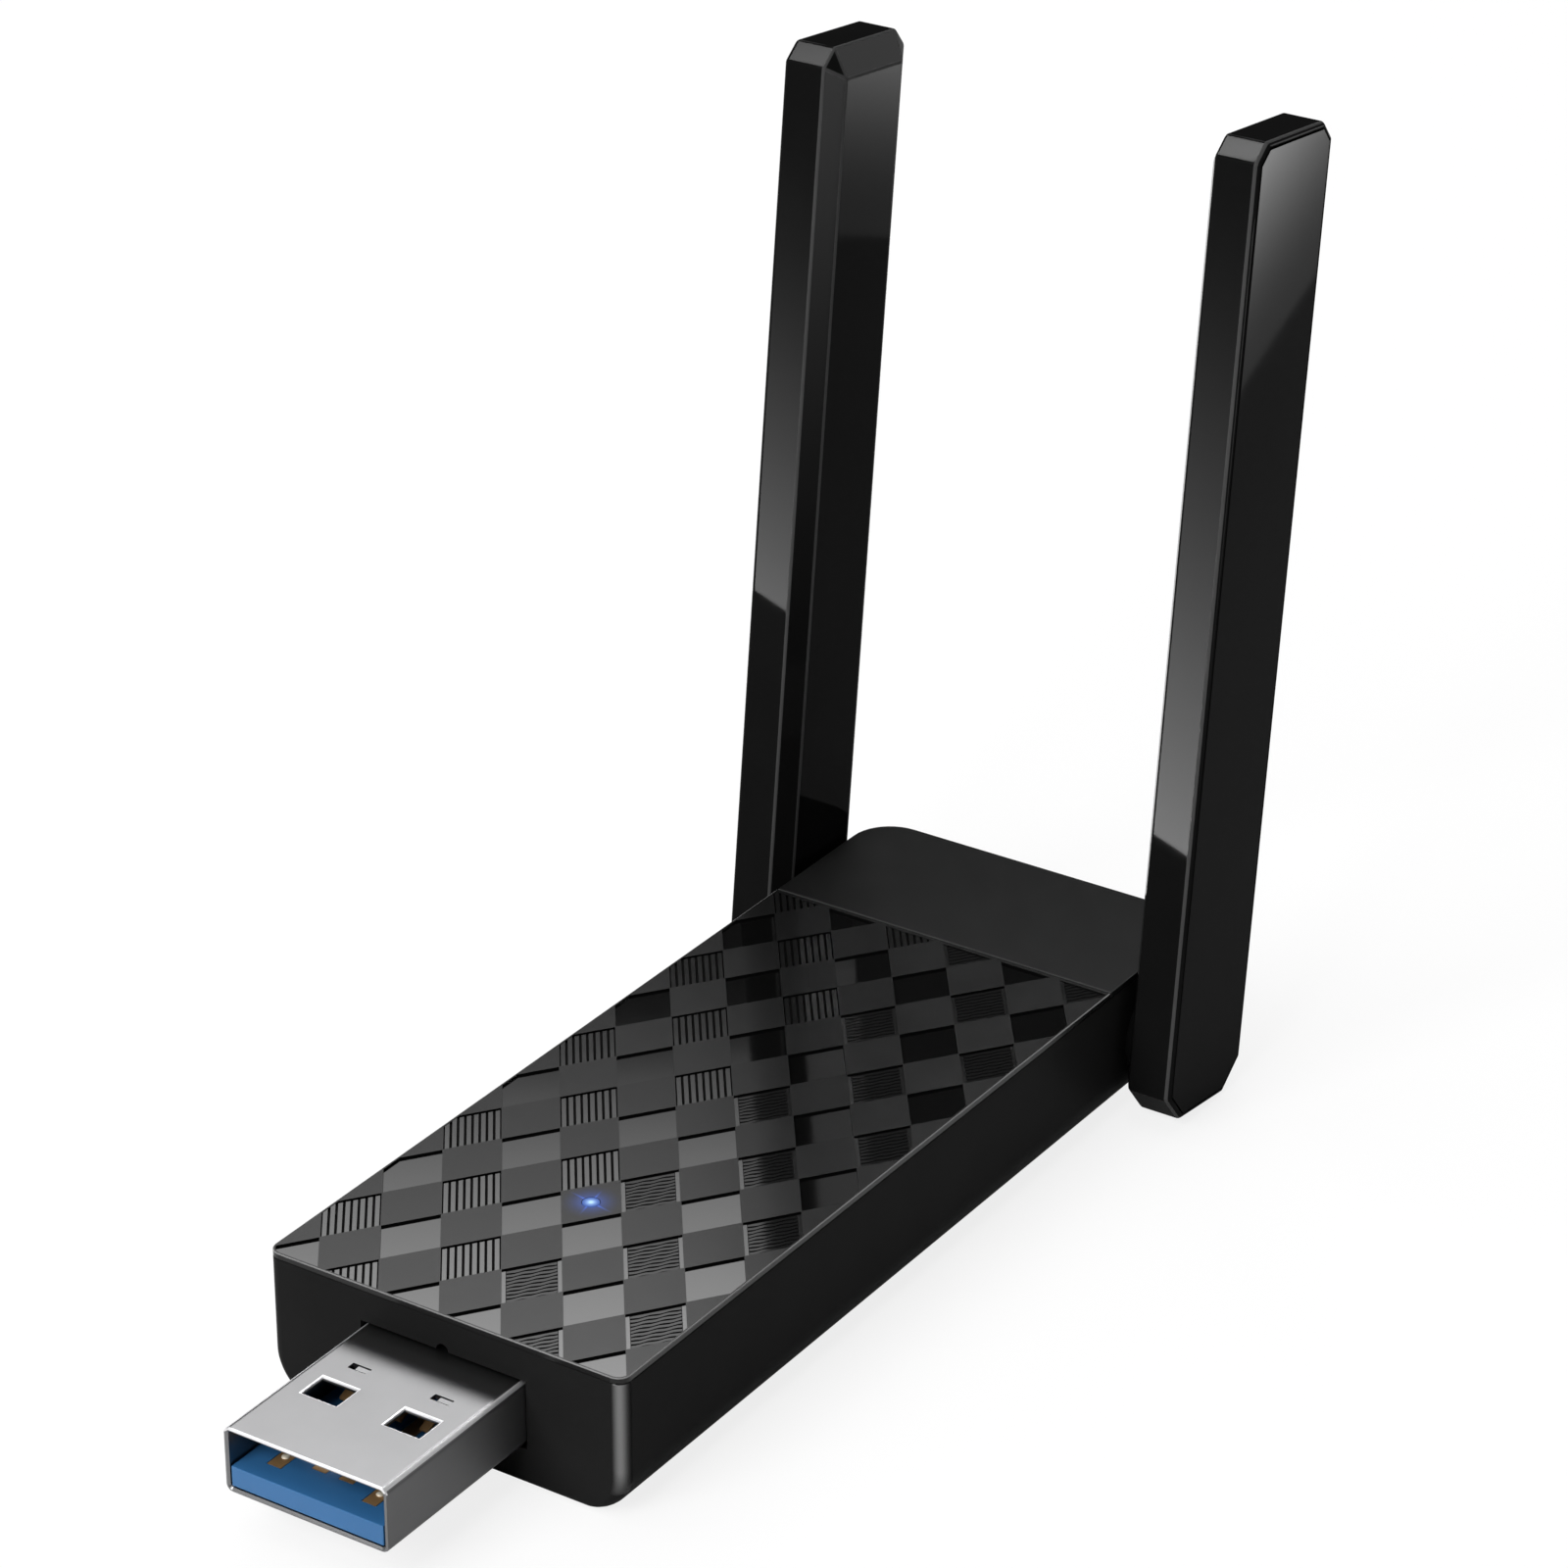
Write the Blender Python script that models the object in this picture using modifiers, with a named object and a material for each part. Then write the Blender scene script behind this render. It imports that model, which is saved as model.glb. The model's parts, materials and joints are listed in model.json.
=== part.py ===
"""USB wireless adapter with two folding antennas, modelled piece by piece.

Metres, +Z up.  The origin is the middle of the case's underside.  The plug points to -Y, and the
antennas stand on hinges near the rear of the case, leaning back a little.
"""

import math

import bmesh
import bpy
from mathutils import Matrix, Vector

MM = 0.001

# Clearances
SEAT = 0.05 * MM          # between pieces that rest on each other
SLIP = 0.1 * MM           # around a piece that drops into another
RUNNING = 0.05 * MM       # radial and end play of the hinges
PLUG_GAP = 0.15 * MM      # around the plug where it leaves the case
SEAM_GAP = 0.1 * MM       # between the two top covers
LID_GAP = 0.06 * MM       # around an antenna's outer lid
LEAD_ROOM = 0.3 * MM      # around a lead in a hinge pin
OVERLAP = 0.4 * MM        # how far shapes that become one piece reach into each other

# Case
BODY_WIDTH = 26.4 * MM
BODY_LENGTH = 68.6 * MM
CASE_WALL = 1.2 * MM
CASE_FLOOR = 1.2 * MM
LOWER_RADIUS = 3.0 * MM
REAR_RADIUS = 3.0 * MM
FRONT_RADIUS = 0.9 * MM
FRONT_LOWER_RADIUS = 0.6 * MM
NOTCH_RADIUS = 0.45 * MM
RIB_HEIGHT = 0.5 * MM
RIB_WIDTH = 1.2 * MM
HEADROOM = 1.3 * MM

# Top covers
COVER_RIM = 0.4 * MM
COVER_STEP = 1.0 * MM
REAR_COVER_LENGTH = 12.7 * MM
LIP_LENGTH = 1.5 * MM
LIP_THICKNESS = 0.7 * MM
HOOK_THICKNESS = 0.8 * MM
HOOK_DROP = 2.2 * MM
HOOK_WIDTH = 3.0 * MM
HOOK_BITE = 0.35 * MM
HOOK_LEAD = 0.6 * MM
HOOK_LAND = 0.4 * MM
HOOK_FROM_END = 12.0 * MM

# Plug
PLUG_WIDTH = 12.0 * MM
PLUG_HEIGHT = 4.5 * MM
PLUG_REACH = 13.4 * MM
PLUG_TAIL = 5.6 * MM
PLUG_WALL = 0.3 * MM
PLUG_CORNER = 0.5 * MM
WINDOW_WIDTH = 2.55 * MM
WINDOW_LENGTH = 2.05 * MM
WINDOW_SIDE = 3.05 * MM
WINDOW_FROM_CASE = 7.0 * MM
DETENT_WIDTH = 1.4 * MM
DETENT_LENGTH = 0.6 * MM
DETENT_FROM_CASE = 4.1 * MM
LEG_LENGTH = 1.6 * MM
LEG_FROM_TAIL = 1.0 * MM
LEG_INSET = 0.05 * MM

# Plug insulator and contacts
TONGUE_HEIGHT = 1.4 * MM
TONGUE_SETBACK = 0.1 * MM
BASE_FROM_CASE = 1.0 * MM
CONTACT_WIDTH = 1.0 * MM
CONTACT_THICKNESS = 0.16 * MM
POWER_CONTACT_SIDE = 3.5 * MM
DATA_CONTACT_SIDE = 1.0 * MM
POWER_CONTACT_SETBACK = 1.4 * MM
DATA_CONTACT_SETBACK = 2.45 * MM
CONTACT_FOOT = 0.5 * MM
FAST_CONTACT_COUNT = 5
FAST_CONTACT_PITCH = 2.0 * MM
FAST_CONTACT_WIDTH = 0.6 * MM
FAST_CONTACT_RISE = 0.35 * MM
FAST_CONTACT_REACH = 3.6 * MM
FAST_CONTACT_HUMP = 0.45 * MM

# Board and what stands on it
BOARD_THICKNESS = 1.0 * MM
BOARD_SIDE_GAP = 0.4 * MM
BOARD_HINGE_GAP = 4.2 * MM
CAN_WIDTH = 15.0 * MM
CAN_LENGTH = 16.0 * MM
CAN_HEIGHT = 1.6 * MM
CAN_SHEET = 0.3 * MM
CAN_SKIRT = 1.0 * MM
CHIP_SIZE = 7.0 * MM
CHIP_HEIGHT = 0.9 * MM
CHIP_BEVEL = 0.12 * MM
CRYSTAL_SIZE = (2.5 * MM, 2.0 * MM, 0.6 * MM)
CRYSTAL_GAP = 1.0 * MM
REGULATOR_SIZE = (2.9 * MM, 1.6 * MM, 1.1 * MM)
INDUCTOR_SIZE = (3.0 * MM, 3.0 * MM, 1.4 * MM)
POWER_SIDE = 5.5 * MM
LED_SIZE = (1.6 * MM, 0.8 * MM, 0.6 * MM)
LED_FROM_FRONT = 15.4 * MM
GUIDE_RADIUS = 0.55 * MM
GUIDE_COLLAR_RADIUS = 1.2 * MM
GUIDE_COLLAR_HEIGHT = 0.6 * MM
GUIDE_LED_GAP = 0.3 * MM
CONNECTOR_BASE = 2.6 * MM
CONNECTOR_BASE_HEIGHT = 0.3 * MM
CONNECTOR_RADIUS = 1.0 * MM
CONNECTOR_HEIGHT = 0.8 * MM
CONNECTOR_INSET = 4.0 * MM
CONNECTOR_FROM_REAR = 4.0 * MM
LEAD_PLUG_RADIUS = 1.2 * MM
LEAD_PLUG_HEIGHT = 0.8 * MM
LEAD_RADIUS = 0.4 * MM
LEAD_TURN_START = 0.2     # shares of the way across from a connector to a hinge pin
LEAD_TURN_END = 0.75

# Hinges
HINGE_FROM_REAR = 7.15 * MM
PIN_RADIUS = 1.8 * MM
PIN_HEAD_LIP = 0.6 * MM
PIN_HEAD_HEIGHT = 0.35 * MM
PIN_GROOVE_DEPTH = 0.45 * MM
PIN_END = 0.5 * MM
BOSS_LIP = 1.4 * MM
BOSS_STAND = 0.3 * MM
WASHER_WIDTH = 0.9 * MM
WASHER_THICKNESS = 0.3 * MM
CLIP_WIDTH = 0.9 * MM
CLIP_THICKNESS = 0.4 * MM
CLIP_MOUTH = math.radians(70.0)
LEAD_ENTRY = 1.6 * MM

# Antennas
ANTENNA_GAP = 0.44 * MM
ANTENNA_DEPTH = 9.8 * MM
ANTENNA_THICKNESS = 4.02 * MM
ANTENNA_TIP = 62.5 * MM       # hinge axis to the top end
ANTENNA_END = 4.65 * MM       # hinge axis to the lower end
ANTENNA_LEAN = math.radians(6.4)
TIP_CUT = 1.2 * MM
END_CUT = 2.05 * MM
CHAMFER_DEPTH = 0.91 * MM
CHAMFER_SIDE = 1.52 * MM
CHAMFER_END = 2.0 * MM
EDGE_BEVEL = 0.25 * MM
ANTENNA_WALL = 0.8 * MM
LID_RIM = 0.45 * MM
LID_THICKNESS = 0.7 * MM
COLLAR_RADIUS = 3.5 * MM
ELEMENT_WIDTH = 6.4 * MM
ELEMENT_THICKNESS = 0.5 * MM
ELEMENT_BELOW = 2.4 * MM
ELEMENT_TIP_GAP = 4.0 * MM
ELEMENT_LID_GAP = 0.2 * MM
ELEMENT_RIB = 1.2 * MM
ELEMENT_RIB_INSET = 8.0 * MM

# Facets
ROUND = 32
ARC_STEPS = 6
SMALL_ARC_STEPS = 3
SMALL_RADIUS = 1.0 * MM
CURVE_STEPS = 4

# Heights, stacked from the underside
RIB_TOP = CASE_FLOOR + RIB_HEIGHT
BOARD_BOTTOM = RIB_TOP + SEAT
BOARD_TOP = BOARD_BOTTOM + BOARD_THICKNESS
PART_SEAT = BOARD_TOP + SEAT
PLUG_AXIS = PART_SEAT + PLUG_HEIGHT / 2
STEP_BOTTOM = PART_SEAT + PLUG_HEIGHT + HEADROOM
RIM_BOTTOM = STEP_BOTTOM + COVER_STEP
BODY_HEIGHT = RIM_BOTTOM + COVER_RIM
CASE_TOP = RIM_BOTTOM - SEAT
HINGE_HEIGHT = BODY_HEIGHT / 2

# Places along the case
HALF_WIDTH = BODY_WIDTH / 2
FRONT = -BODY_LENGTH / 2
REAR = BODY_LENGTH / 2
SEAM = REAR - REAR_COVER_LENGTH
HINGE_Y = REAR - HINGE_FROM_REAR
LED_Y = FRONT + LED_FROM_FRONT
INNER_HALF = HALF_WIDTH - CASE_WALL
INNER_FRONT = FRONT + CASE_WALL
INNER_REAR = REAR - CASE_WALL
BOARD_FRONT = INNER_FRONT + BOARD_SIDE_GAP
BOARD_REAR = HINGE_Y - BOARD_HINGE_GAP
CONNECTOR_Y = BOARD_REAR - CONNECTOR_FROM_REAR
RADIO_Y = (LED_Y + CONNECTOR_Y) / 2

# The plug's inside
PLUG_INNER_HALF = PLUG_WIDTH / 2 - PLUG_WALL
PLUG_INNER_BOTTOM = PLUG_AXIS - PLUG_HEIGHT / 2 + PLUG_WALL
PLUG_INNER_TOP = PLUG_AXIS + PLUG_HEIGHT / 2 - PLUG_WALL
PLUG_INNER_CORNER = max(PLUG_CORNER - PLUG_WALL, SEAT)
PLUG_TIP = FRONT - PLUG_REACH
PLUG_BACK = FRONT + PLUG_TAIL
TONGUE_TIP = PLUG_TIP + TONGUE_SETBACK
TONGUE_TOP = PLUG_INNER_BOTTOM + SLIP + TONGUE_HEIGHT
FAST_CONTACT_Z = TONGUE_TOP + FAST_CONTACT_RISE
TAIL_Y = PLUG_BACK + SLIP + CONTACT_THICKNESS
FAST_TAIL_Y = TAIL_Y + CONTACT_FOOT + CONTACT_THICKNESS + LEAD_ROOM
POWER_Y = (FAST_TAIL_Y + CONTACT_FOOT + LED_Y) / 2

# The radio can
CAN_TOP = PART_SEAT + CAN_HEIGHT
LID_UNDERSIDE = CAN_TOP + SEAT
CHIP_TOP = PART_SEAT + CHIP_HEIGHT

# The hinges, measured outward from the middle of the case
WASHER_RADIUS = PIN_RADIUS + WASHER_WIDTH
CLIP_RADIUS = PIN_RADIUS + CLIP_WIDTH
BOSS_RADIUS = PIN_RADIUS + BOSS_LIP
PIN_GROOVE_RADIUS = PIN_RADIUS - PIN_GROOVE_DEPTH
PIN_HEAD_RADIUS = PIN_RADIUS + PIN_HEAD_LIP
PIN_BORE_RADIUS = LEAD_RADIUS + LEAD_ROOM
FACET_FIT = 1 / math.cos(math.pi / ROUND)

# The antennas, measured outward from the middle of the case
ANTENNA_IN = HALF_WIDTH + ANTENNA_GAP
ANTENNA_OUT = ANTENNA_IN + ANTENNA_THICKNESS
ANTENNA_FLOOR = ANTENNA_IN + ANTENNA_WALL
LID_IN = ANTENNA_OUT - LID_THICKNESS
PIN_HEAD_IN = ANTENNA_FLOOR + SEAT
PIN_HEAD_OUT = PIN_HEAD_IN + PIN_HEAD_HEIGHT
ELEMENT_OUT = LID_IN - ELEMENT_LID_GAP
ELEMENT_IN = ELEMENT_OUT - ELEMENT_THICKNESS
ELEMENT_LOW = -ELEMENT_BELOW
ELEMENT_HIGH = ANTENNA_TIP - ELEMENT_TIP_GAP

SIDES = (("left", -1), ("right", 1))

# How an outline drawn in a plane stands when it is extruded along an axis
AXIS_FRAMES = {
    "X": Matrix(((0, 0, 1), (1, 0, 0), (0, 1, 0))),
    "Y": Matrix(((1, 0, 0), (0, 0, -1), (0, 1, 0))),
    "Z": Matrix.Identity(3),
}
FILL_SCALE = 1000.0       # outlines are filled at millimetre scale
WELD = 0.001 * MM
SHARP_ANGLE = math.radians(30.0)


def cavity_half_width(height):
    """Half the width of the case's hollow at a height above its floor."""
    radius = max(LOWER_RADIUS - CASE_WALL, SEAT)
    below = max(CASE_FLOOR + radius - height, 0.0)
    return INNER_HALF - radius + math.sqrt(max(radius ** 2 - below ** 2, 0.0))


BOARD_HALF = cavity_half_width(BOARD_BOTTOM) - BOARD_SIDE_GAP
CONNECTOR_X = BOARD_HALF - CONNECTOR_INSET
BOSS_FACE = cavity_half_width(HINGE_HEIGHT - WASHER_RADIUS) - BOSS_STAND
WASHER_OUT = BOSS_FACE - RUNNING
CLIP_OUT = WASHER_OUT - WASHER_THICKNESS - RUNNING
CLIP_IN = CLIP_OUT - CLIP_THICKNESS
PIN_IN = CLIP_IN - RUNNING - PIN_END
LEAD_MEET = PIN_IN + LEAD_ENTRY


# Scene set-up

def clear_scene():
    """Start from an empty scene."""
    for obj in list(bpy.data.objects):
        bpy.data.objects.remove(obj, do_unlink=True)


def new_collection(name):
    """A collection under the scene's own."""
    group = bpy.data.collections.new(name)
    bpy.context.scene.collection.children.link(group)
    return group


clear_scene()
PARTS = new_collection("usb_wireless_adapter")
CUTTERS = new_collection("cutters")


def finish(name, colour, roughness, metallic=0.0):
    """A plain Principled material."""
    material = bpy.data.materials.new(name)
    material.use_nodes = True
    shader = material.node_tree.nodes["Principled BSDF"]
    shader.inputs["Base Color"].default_value = (*colour, 1.0)
    shader.inputs["Roughness"].default_value = roughness
    shader.inputs["Metallic"].default_value = metallic
    return material


GLOSS_BLACK = finish("gloss_black_plastic", (0.012, 0.012, 0.013), 0.08)
CHECK_GREY = finish("check_plate_plastic", (0.06, 0.06, 0.065), 0.25)
SATIN_BLACK = finish("satin_black_plastic", (0.03, 0.03, 0.032), 0.4)
PLUG_STEEL = finish("plug_steel", (0.62, 0.62, 0.63), 0.28, 1.0)
BLUE_PLASTIC = finish("blue_plastic", (0.045, 0.19, 0.47), 0.4)
CONTACT_GOLD = finish("contact_gold", (0.72, 0.46, 0.2), 0.3, 1.0)
BOARD_GREEN = finish("board_green", (0.02, 0.12, 0.05), 0.5)
CHIP_BLACK = finish("chip_black", (0.02, 0.02, 0.02), 0.6)
TIN_PLATE = finish("tin_plate", (0.6, 0.6, 0.6), 0.35, 1.0)
PAD_GREY = finish("pad_grey", (0.35, 0.36, 0.4), 0.9)
CLEAR_PLASTIC = finish("clear_plastic", (0.75, 0.85, 1.0), 0.15)
LEAD_GREY = finish("lead_grey", (0.09, 0.09, 0.09), 0.5)
SPRING_STEEL = finish("spring_steel", (0.5, 0.5, 0.52), 0.3, 1.0)


def new_object(name, mesh, material=None, parent=None):
    """A part, or a hidden helper shape where no material is given."""
    obj = bpy.data.objects.new(name, mesh)
    if material is None:
        CUTTERS.objects.link(obj)
        obj.hide_render = True
        obj.display_type = "WIRE"
    else:
        PARTS.objects.link(obj)
        mesh.materials.clear()
        mesh.materials.append(material)
    obj.parent = parent
    return obj


def mesh_from(name, build):
    """A mesh filled in by a function that works on a bmesh."""
    mesh = bpy.data.meshes.new(name)
    bm = bmesh.new()
    build(bm)
    bmesh.ops.recalc_face_normals(bm, faces=bm.faces)
    bm.to_mesh(mesh)
    bm.free()
    return mesh


def shade_round(mesh):
    """Smooth shading that stops at the mesh's real edges."""
    mesh.shade_smooth()
    mesh.set_sharp_from_angle(angle=SHARP_ANGLE)
    return mesh


# Shapes

def box(name, low, high, material=None, parent=None):
    """A box between two corners."""
    low, high = Vector(low), Vector(high)
    size = high - low
    place = Matrix.Translation((low + high) / 2) @ Matrix.Diagonal((*size, 1.0))

    def build(bm):
        bmesh.ops.create_cube(bm, size=1.0, matrix=place)

    return new_object(name, mesh_from(name, build), material, parent)


def cylinder(name, radius, centre, low, high, axis, material=None, parent=None):
    """A cylinder from low to high along an axis, centred on the other two coordinates."""
    middle = Vector(centre)
    middle["XYZ".index(axis)] = (low + high) / 2
    place = Matrix.Translation(middle) @ AXIS_FRAMES[axis].to_4x4()

    def build(bm):
        bmesh.ops.create_cone(bm, cap_ends=True, segments=ROUND, radius1=radius, radius2=radius,
                              depth=high - low, matrix=place)

    return new_object(name, shade_round(mesh_from(name, build)), material, parent)


def solid_from(guide, place, material=None, parent=None):
    """The shape that a curve or a turned profile gives, as a welded mesh moved to its place."""
    name = guide.name
    bpy.context.scene.collection.objects.link(guide)
    bpy.context.view_layer.update()
    graph = bpy.context.evaluated_depsgraph_get()
    mesh = bpy.data.meshes.new_from_object(guide.evaluated_get(graph))
    bpy.data.objects.remove(guide, do_unlink=True)
    mesh.transform(place)
    bm = bmesh.new()
    bm.from_mesh(mesh)
    bmesh.ops.remove_doubles(bm, verts=bm.verts, dist=WELD)
    bmesh.ops.recalc_face_normals(bm, faces=bm.faces)
    bm.to_mesh(mesh)
    bm.free()
    mesh.name = name
    return new_object(name, shade_round(mesh), material, parent)


def prism(name, outline, low, high, axis, material=None, parent=None):
    """A closed outline extruded from low to high along an axis.

    The outline is in (Y, Z) for axis X, in (X, Z) for axis Y and in (X, Y) for axis Z.
    """
    curve = bpy.data.curves.new(name, "CURVE")
    curve.dimensions = "2D"
    curve.fill_mode = "BOTH"
    curve.extrude = FILL_SCALE * abs(high - low) / 2
    spline = curve.splines.new("POLY")
    spline.points.add(len(outline) - 1)
    for point, (across, up) in zip(spline.points, outline):
        point.co = (FILL_SCALE * across, FILL_SCALE * up, 0.0, 1.0)
    spline.use_cyclic_u = True
    middle = Vector((0.0, 0.0, 0.0))
    middle["XYZ".index(axis)] = (low + high) / 2
    place = Matrix.Translation(middle) @ AXIS_FRAMES[axis].to_4x4() @ Matrix.Scale(1 / FILL_SCALE, 4)
    return solid_from(bpy.data.objects.new(name, curve), place, material, parent)


def tube(name, route, radius, material=None, parent=None):
    """A round lead along a smooth route."""
    curve = bpy.data.curves.new(name, "CURVE")
    curve.dimensions = "3D"
    curve.bevel_depth = FILL_SCALE * radius
    curve.bevel_resolution = 2
    curve.resolution_u = CURVE_STEPS
    curve.use_fill_caps = True
    spline = curve.splines.new("BEZIER")
    spline.bezier_points.add(len(route) - 1)
    for point, stop in zip(spline.bezier_points, route):
        point.co = FILL_SCALE * Vector(stop)
        point.handle_left_type = "AUTO"
        point.handle_right_type = "AUTO"
    place = Matrix.Scale(1 / FILL_SCALE, 4)
    return solid_from(bpy.data.objects.new(name, curve), place, material, parent)


def turned(name, profile, centre, side, material, parent=None):
    """A ring of (distance along the axis, radius) points turned about a hinge axis.

    Distances run outward from the middle of the case, and the points go round the section
    so that its outer side is met from the outer end inwards.
    """
    mesh = bpy.data.meshes.new(name)
    points = [(radius, 0.0, along) for along, radius in profile]
    edges = [(i, (i + 1) % len(points)) for i in range(len(points))]
    mesh.from_pydata(points, edges, [])
    guide = bpy.data.objects.new(name, mesh)
    screw = guide.modifiers.new("turn", "SCREW")
    screw.axis = "Z"
    screw.angle = 2 * math.pi
    screw.steps = ROUND
    screw.render_steps = ROUND
    screw.use_merge_vertices = True
    screw.merge_threshold = WELD
    place = Matrix.Translation(centre) @ Matrix.Rotation(side * math.pi / 2, 4, "Y")
    return solid_from(guide, place, material, parent)


def boolean(target, other, operation):
    """Combine two shapes; the second is only a helper."""
    modifier = target.modifiers.new(other.name, "BOOLEAN")
    modifier.operation = operation
    modifier.solver = "EXACT"
    modifier.object = other
    return target


def cut(target, *others):
    """Take shapes away from a piece."""
    for other in others:
        boolean(target, other, "DIFFERENCE")
    return target


def join(target, *others):
    """Make shapes one with a piece."""
    for other in others:
        boolean(target, other, "UNION")
    return target


def keep_inside(target, *others):
    """Keep only what lies inside other shapes."""
    for other in others:
        boolean(target, other, "INTERSECT")
    return target


def bevel_edges(obj, width):
    """Break the edges of a piece."""
    modifier = obj.modifiers.new("edges", "BEVEL")
    modifier.width = width
    modifier.segments = 1
    modifier.limit_method = "ANGLE"
    return obj


def rounded_outline(corners):
    """A closed outline through right-angled (x, y, radius) corners."""
    outline = []
    count = len(corners)
    for index, (x, y, radius) in enumerate(corners):
        corner = Vector((x, y))
        if radius <= 0.0:
            outline.append(tuple(corner))
            continue
        back = (Vector(corners[index - 1][:2]) - corner).normalized()
        ahead = (Vector(corners[(index + 1) % count][:2]) - corner).normalized()
        middle = corner + (back + ahead) * radius
        steps = ARC_STEPS if radius > SMALL_RADIUS else SMALL_ARC_STEPS
        for step in range(steps + 1):
            angle = math.pi / 2 * step / steps
            outline.append(tuple(middle - ahead * radius * math.cos(angle) - back * radius * math.sin(angle)))
    return outline


def box_outline(left, low, right, high, radius=0.0):
    """A rectangle with equal corner radii."""
    return rounded_outline([(left, low, radius), (right, low, radius),
                            (right, high, radius), (left, high, radius)])


# Case and covers

def case_hull(name, inset, floor, top, material=None):
    """The case's outer form, or its hollow where it is inset: plan, cross and length outlines combined."""
    half = HALF_WIDTH - inset
    front, rear = FRONT + inset, REAR - inset
    front_radius = max(FRONT_RADIUS - inset, 0.0)
    rear_radius = max(REAR_RADIUS - inset, SEAT)
    lower = max(LOWER_RADIUS - inset, SEAT)
    front_lower = max(FRONT_LOWER_RADIUS - inset, 0.0)
    above = top + OVERLAP
    plan = rounded_outline([(-half, front, front_radius), (half, front, front_radius),
                            (half, rear, rear_radius), (-half, rear, rear_radius)])
    across = rounded_outline([(-half, floor, lower), (half, floor, lower), (half, above, 0.0),
                              (-half, above, 0.0)])
    along = rounded_outline([(front, floor, front_lower), (rear, floor, lower), (rear, above, 0.0),
                             (front, above, 0.0)])
    hull = prism(name, plan, floor - OVERLAP, top, "Z", material)
    cross = prism(name + "_cross", across, front - OVERLAP, rear + OVERLAP, "Y")
    length = prism(name + "_length", along, -half - OVERLAP, half + OVERLAP, "X")
    return keep_inside(hull, cross, length)


def hook_places():
    """Where the pattern plate's snap hooks stand along the case."""
    return (FRONT + HOOK_FROM_END, SEAM - HOOK_FROM_END)


HOOK_LOW = STEP_BOTTOM - HOOK_DROP
HOOK_CATCH = HOOK_LOW + HOOK_LEAD + HOOK_LAND


def hook_outline(wall, side):
    """A snap hook's section beside a wall that faces inward, as (distance, height) points."""
    outer = wall - SLIP
    inner = outer - HOOK_THICKNESS
    tip = outer + HOOK_BITE
    top = RIM_BOTTOM - COVER_STEP / 2
    section = [(inner, top), (inner, HOOK_LOW), (outer, HOOK_LOW), (tip, HOOK_LOW + HOOK_LEAD),
               (tip, HOOK_CATCH), (outer, HOOK_CATCH), (outer, top)]
    return [(side * distance, height) for distance, height in section]


def make_lower_case():
    """Tray with the plug opening, hinge bores and hook pockets; ribs and bosses stay in its hollow."""
    case = case_hull("lower_case", 0.0, 0.0, CASE_TOP, GLOSS_BLACK)
    hollow = case_hull("case_hollow", CASE_WALL, CASE_FLOOR, CASE_TOP + OVERLAP)
    for index, place in enumerate((BOARD_FRONT + RIB_WIDTH, RADIO_Y, BOARD_REAR - RIB_WIDTH)):
        rib = box(f"case_rib_{index}", (-BOARD_HALF, place - RIB_WIDTH / 2, 0.0),
                  (BOARD_HALF, place + RIB_WIDTH / 2, RIB_TOP))
        cut(hollow, rib)
    hinge = (0.0, HINGE_Y, HINGE_HEIGHT)
    for name, side in SIDES:
        ends = sorted((side * BOSS_FACE, side * (HALF_WIDTH + OVERLAP)))
        cut(hollow, cylinder(f"case_boss_{name}", BOSS_RADIUS, hinge, *ends, "X"))
    cut(case, hollow)
    opening = box("plug_opening",
                  (-PLUG_WIDTH / 2 - PLUG_GAP, FRONT - OVERLAP, PLUG_AXIS - PLUG_HEIGHT / 2 - PLUG_GAP),
                  (PLUG_WIDTH / 2 + PLUG_GAP, INNER_FRONT + OVERLAP, PLUG_AXIS + PLUG_HEIGHT / 2 + PLUG_GAP))
    notch = cylinder("plug_notch", NOTCH_RADIUS, (0.0, 0.0, PLUG_AXIS + PLUG_HEIGHT / 2 + PLUG_GAP),
                     FRONT - OVERLAP, INNER_FRONT + OVERLAP, "Y")
    bore_radius = (PIN_RADIUS + RUNNING) * FACET_FIT
    bore = cylinder("hinge_bore", bore_radius, hinge, -HALF_WIDTH - OVERLAP, HALF_WIDTH + OVERLAP, "X")
    cut(case, opening, notch, bore)
    for name, side in SIDES:
        for index, place in enumerate(hook_places()):
            ends = sorted((side * (INNER_HALF - OVERLAP), side * (INNER_HALF + HOOK_BITE)))
            cut(case, box(f"hook_pocket_{name}_{index}",
                          (ends[0], place - HOOK_WIDTH / 2 - SLIP, HOOK_LOW - SLIP),
                          (ends[1], place + HOOK_WIDTH / 2 + SLIP, HOOK_CATCH + SLIP)))
    cut(case, box("hook_pocket_rear", (-HOOK_WIDTH / 2 - SLIP, INNER_REAR - OVERLAP, HOOK_LOW - SLIP),
                  (HOOK_WIDTH / 2 + SLIP, INNER_REAR + HOOK_BITE, HOOK_CATCH + SLIP)))
    return case


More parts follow.
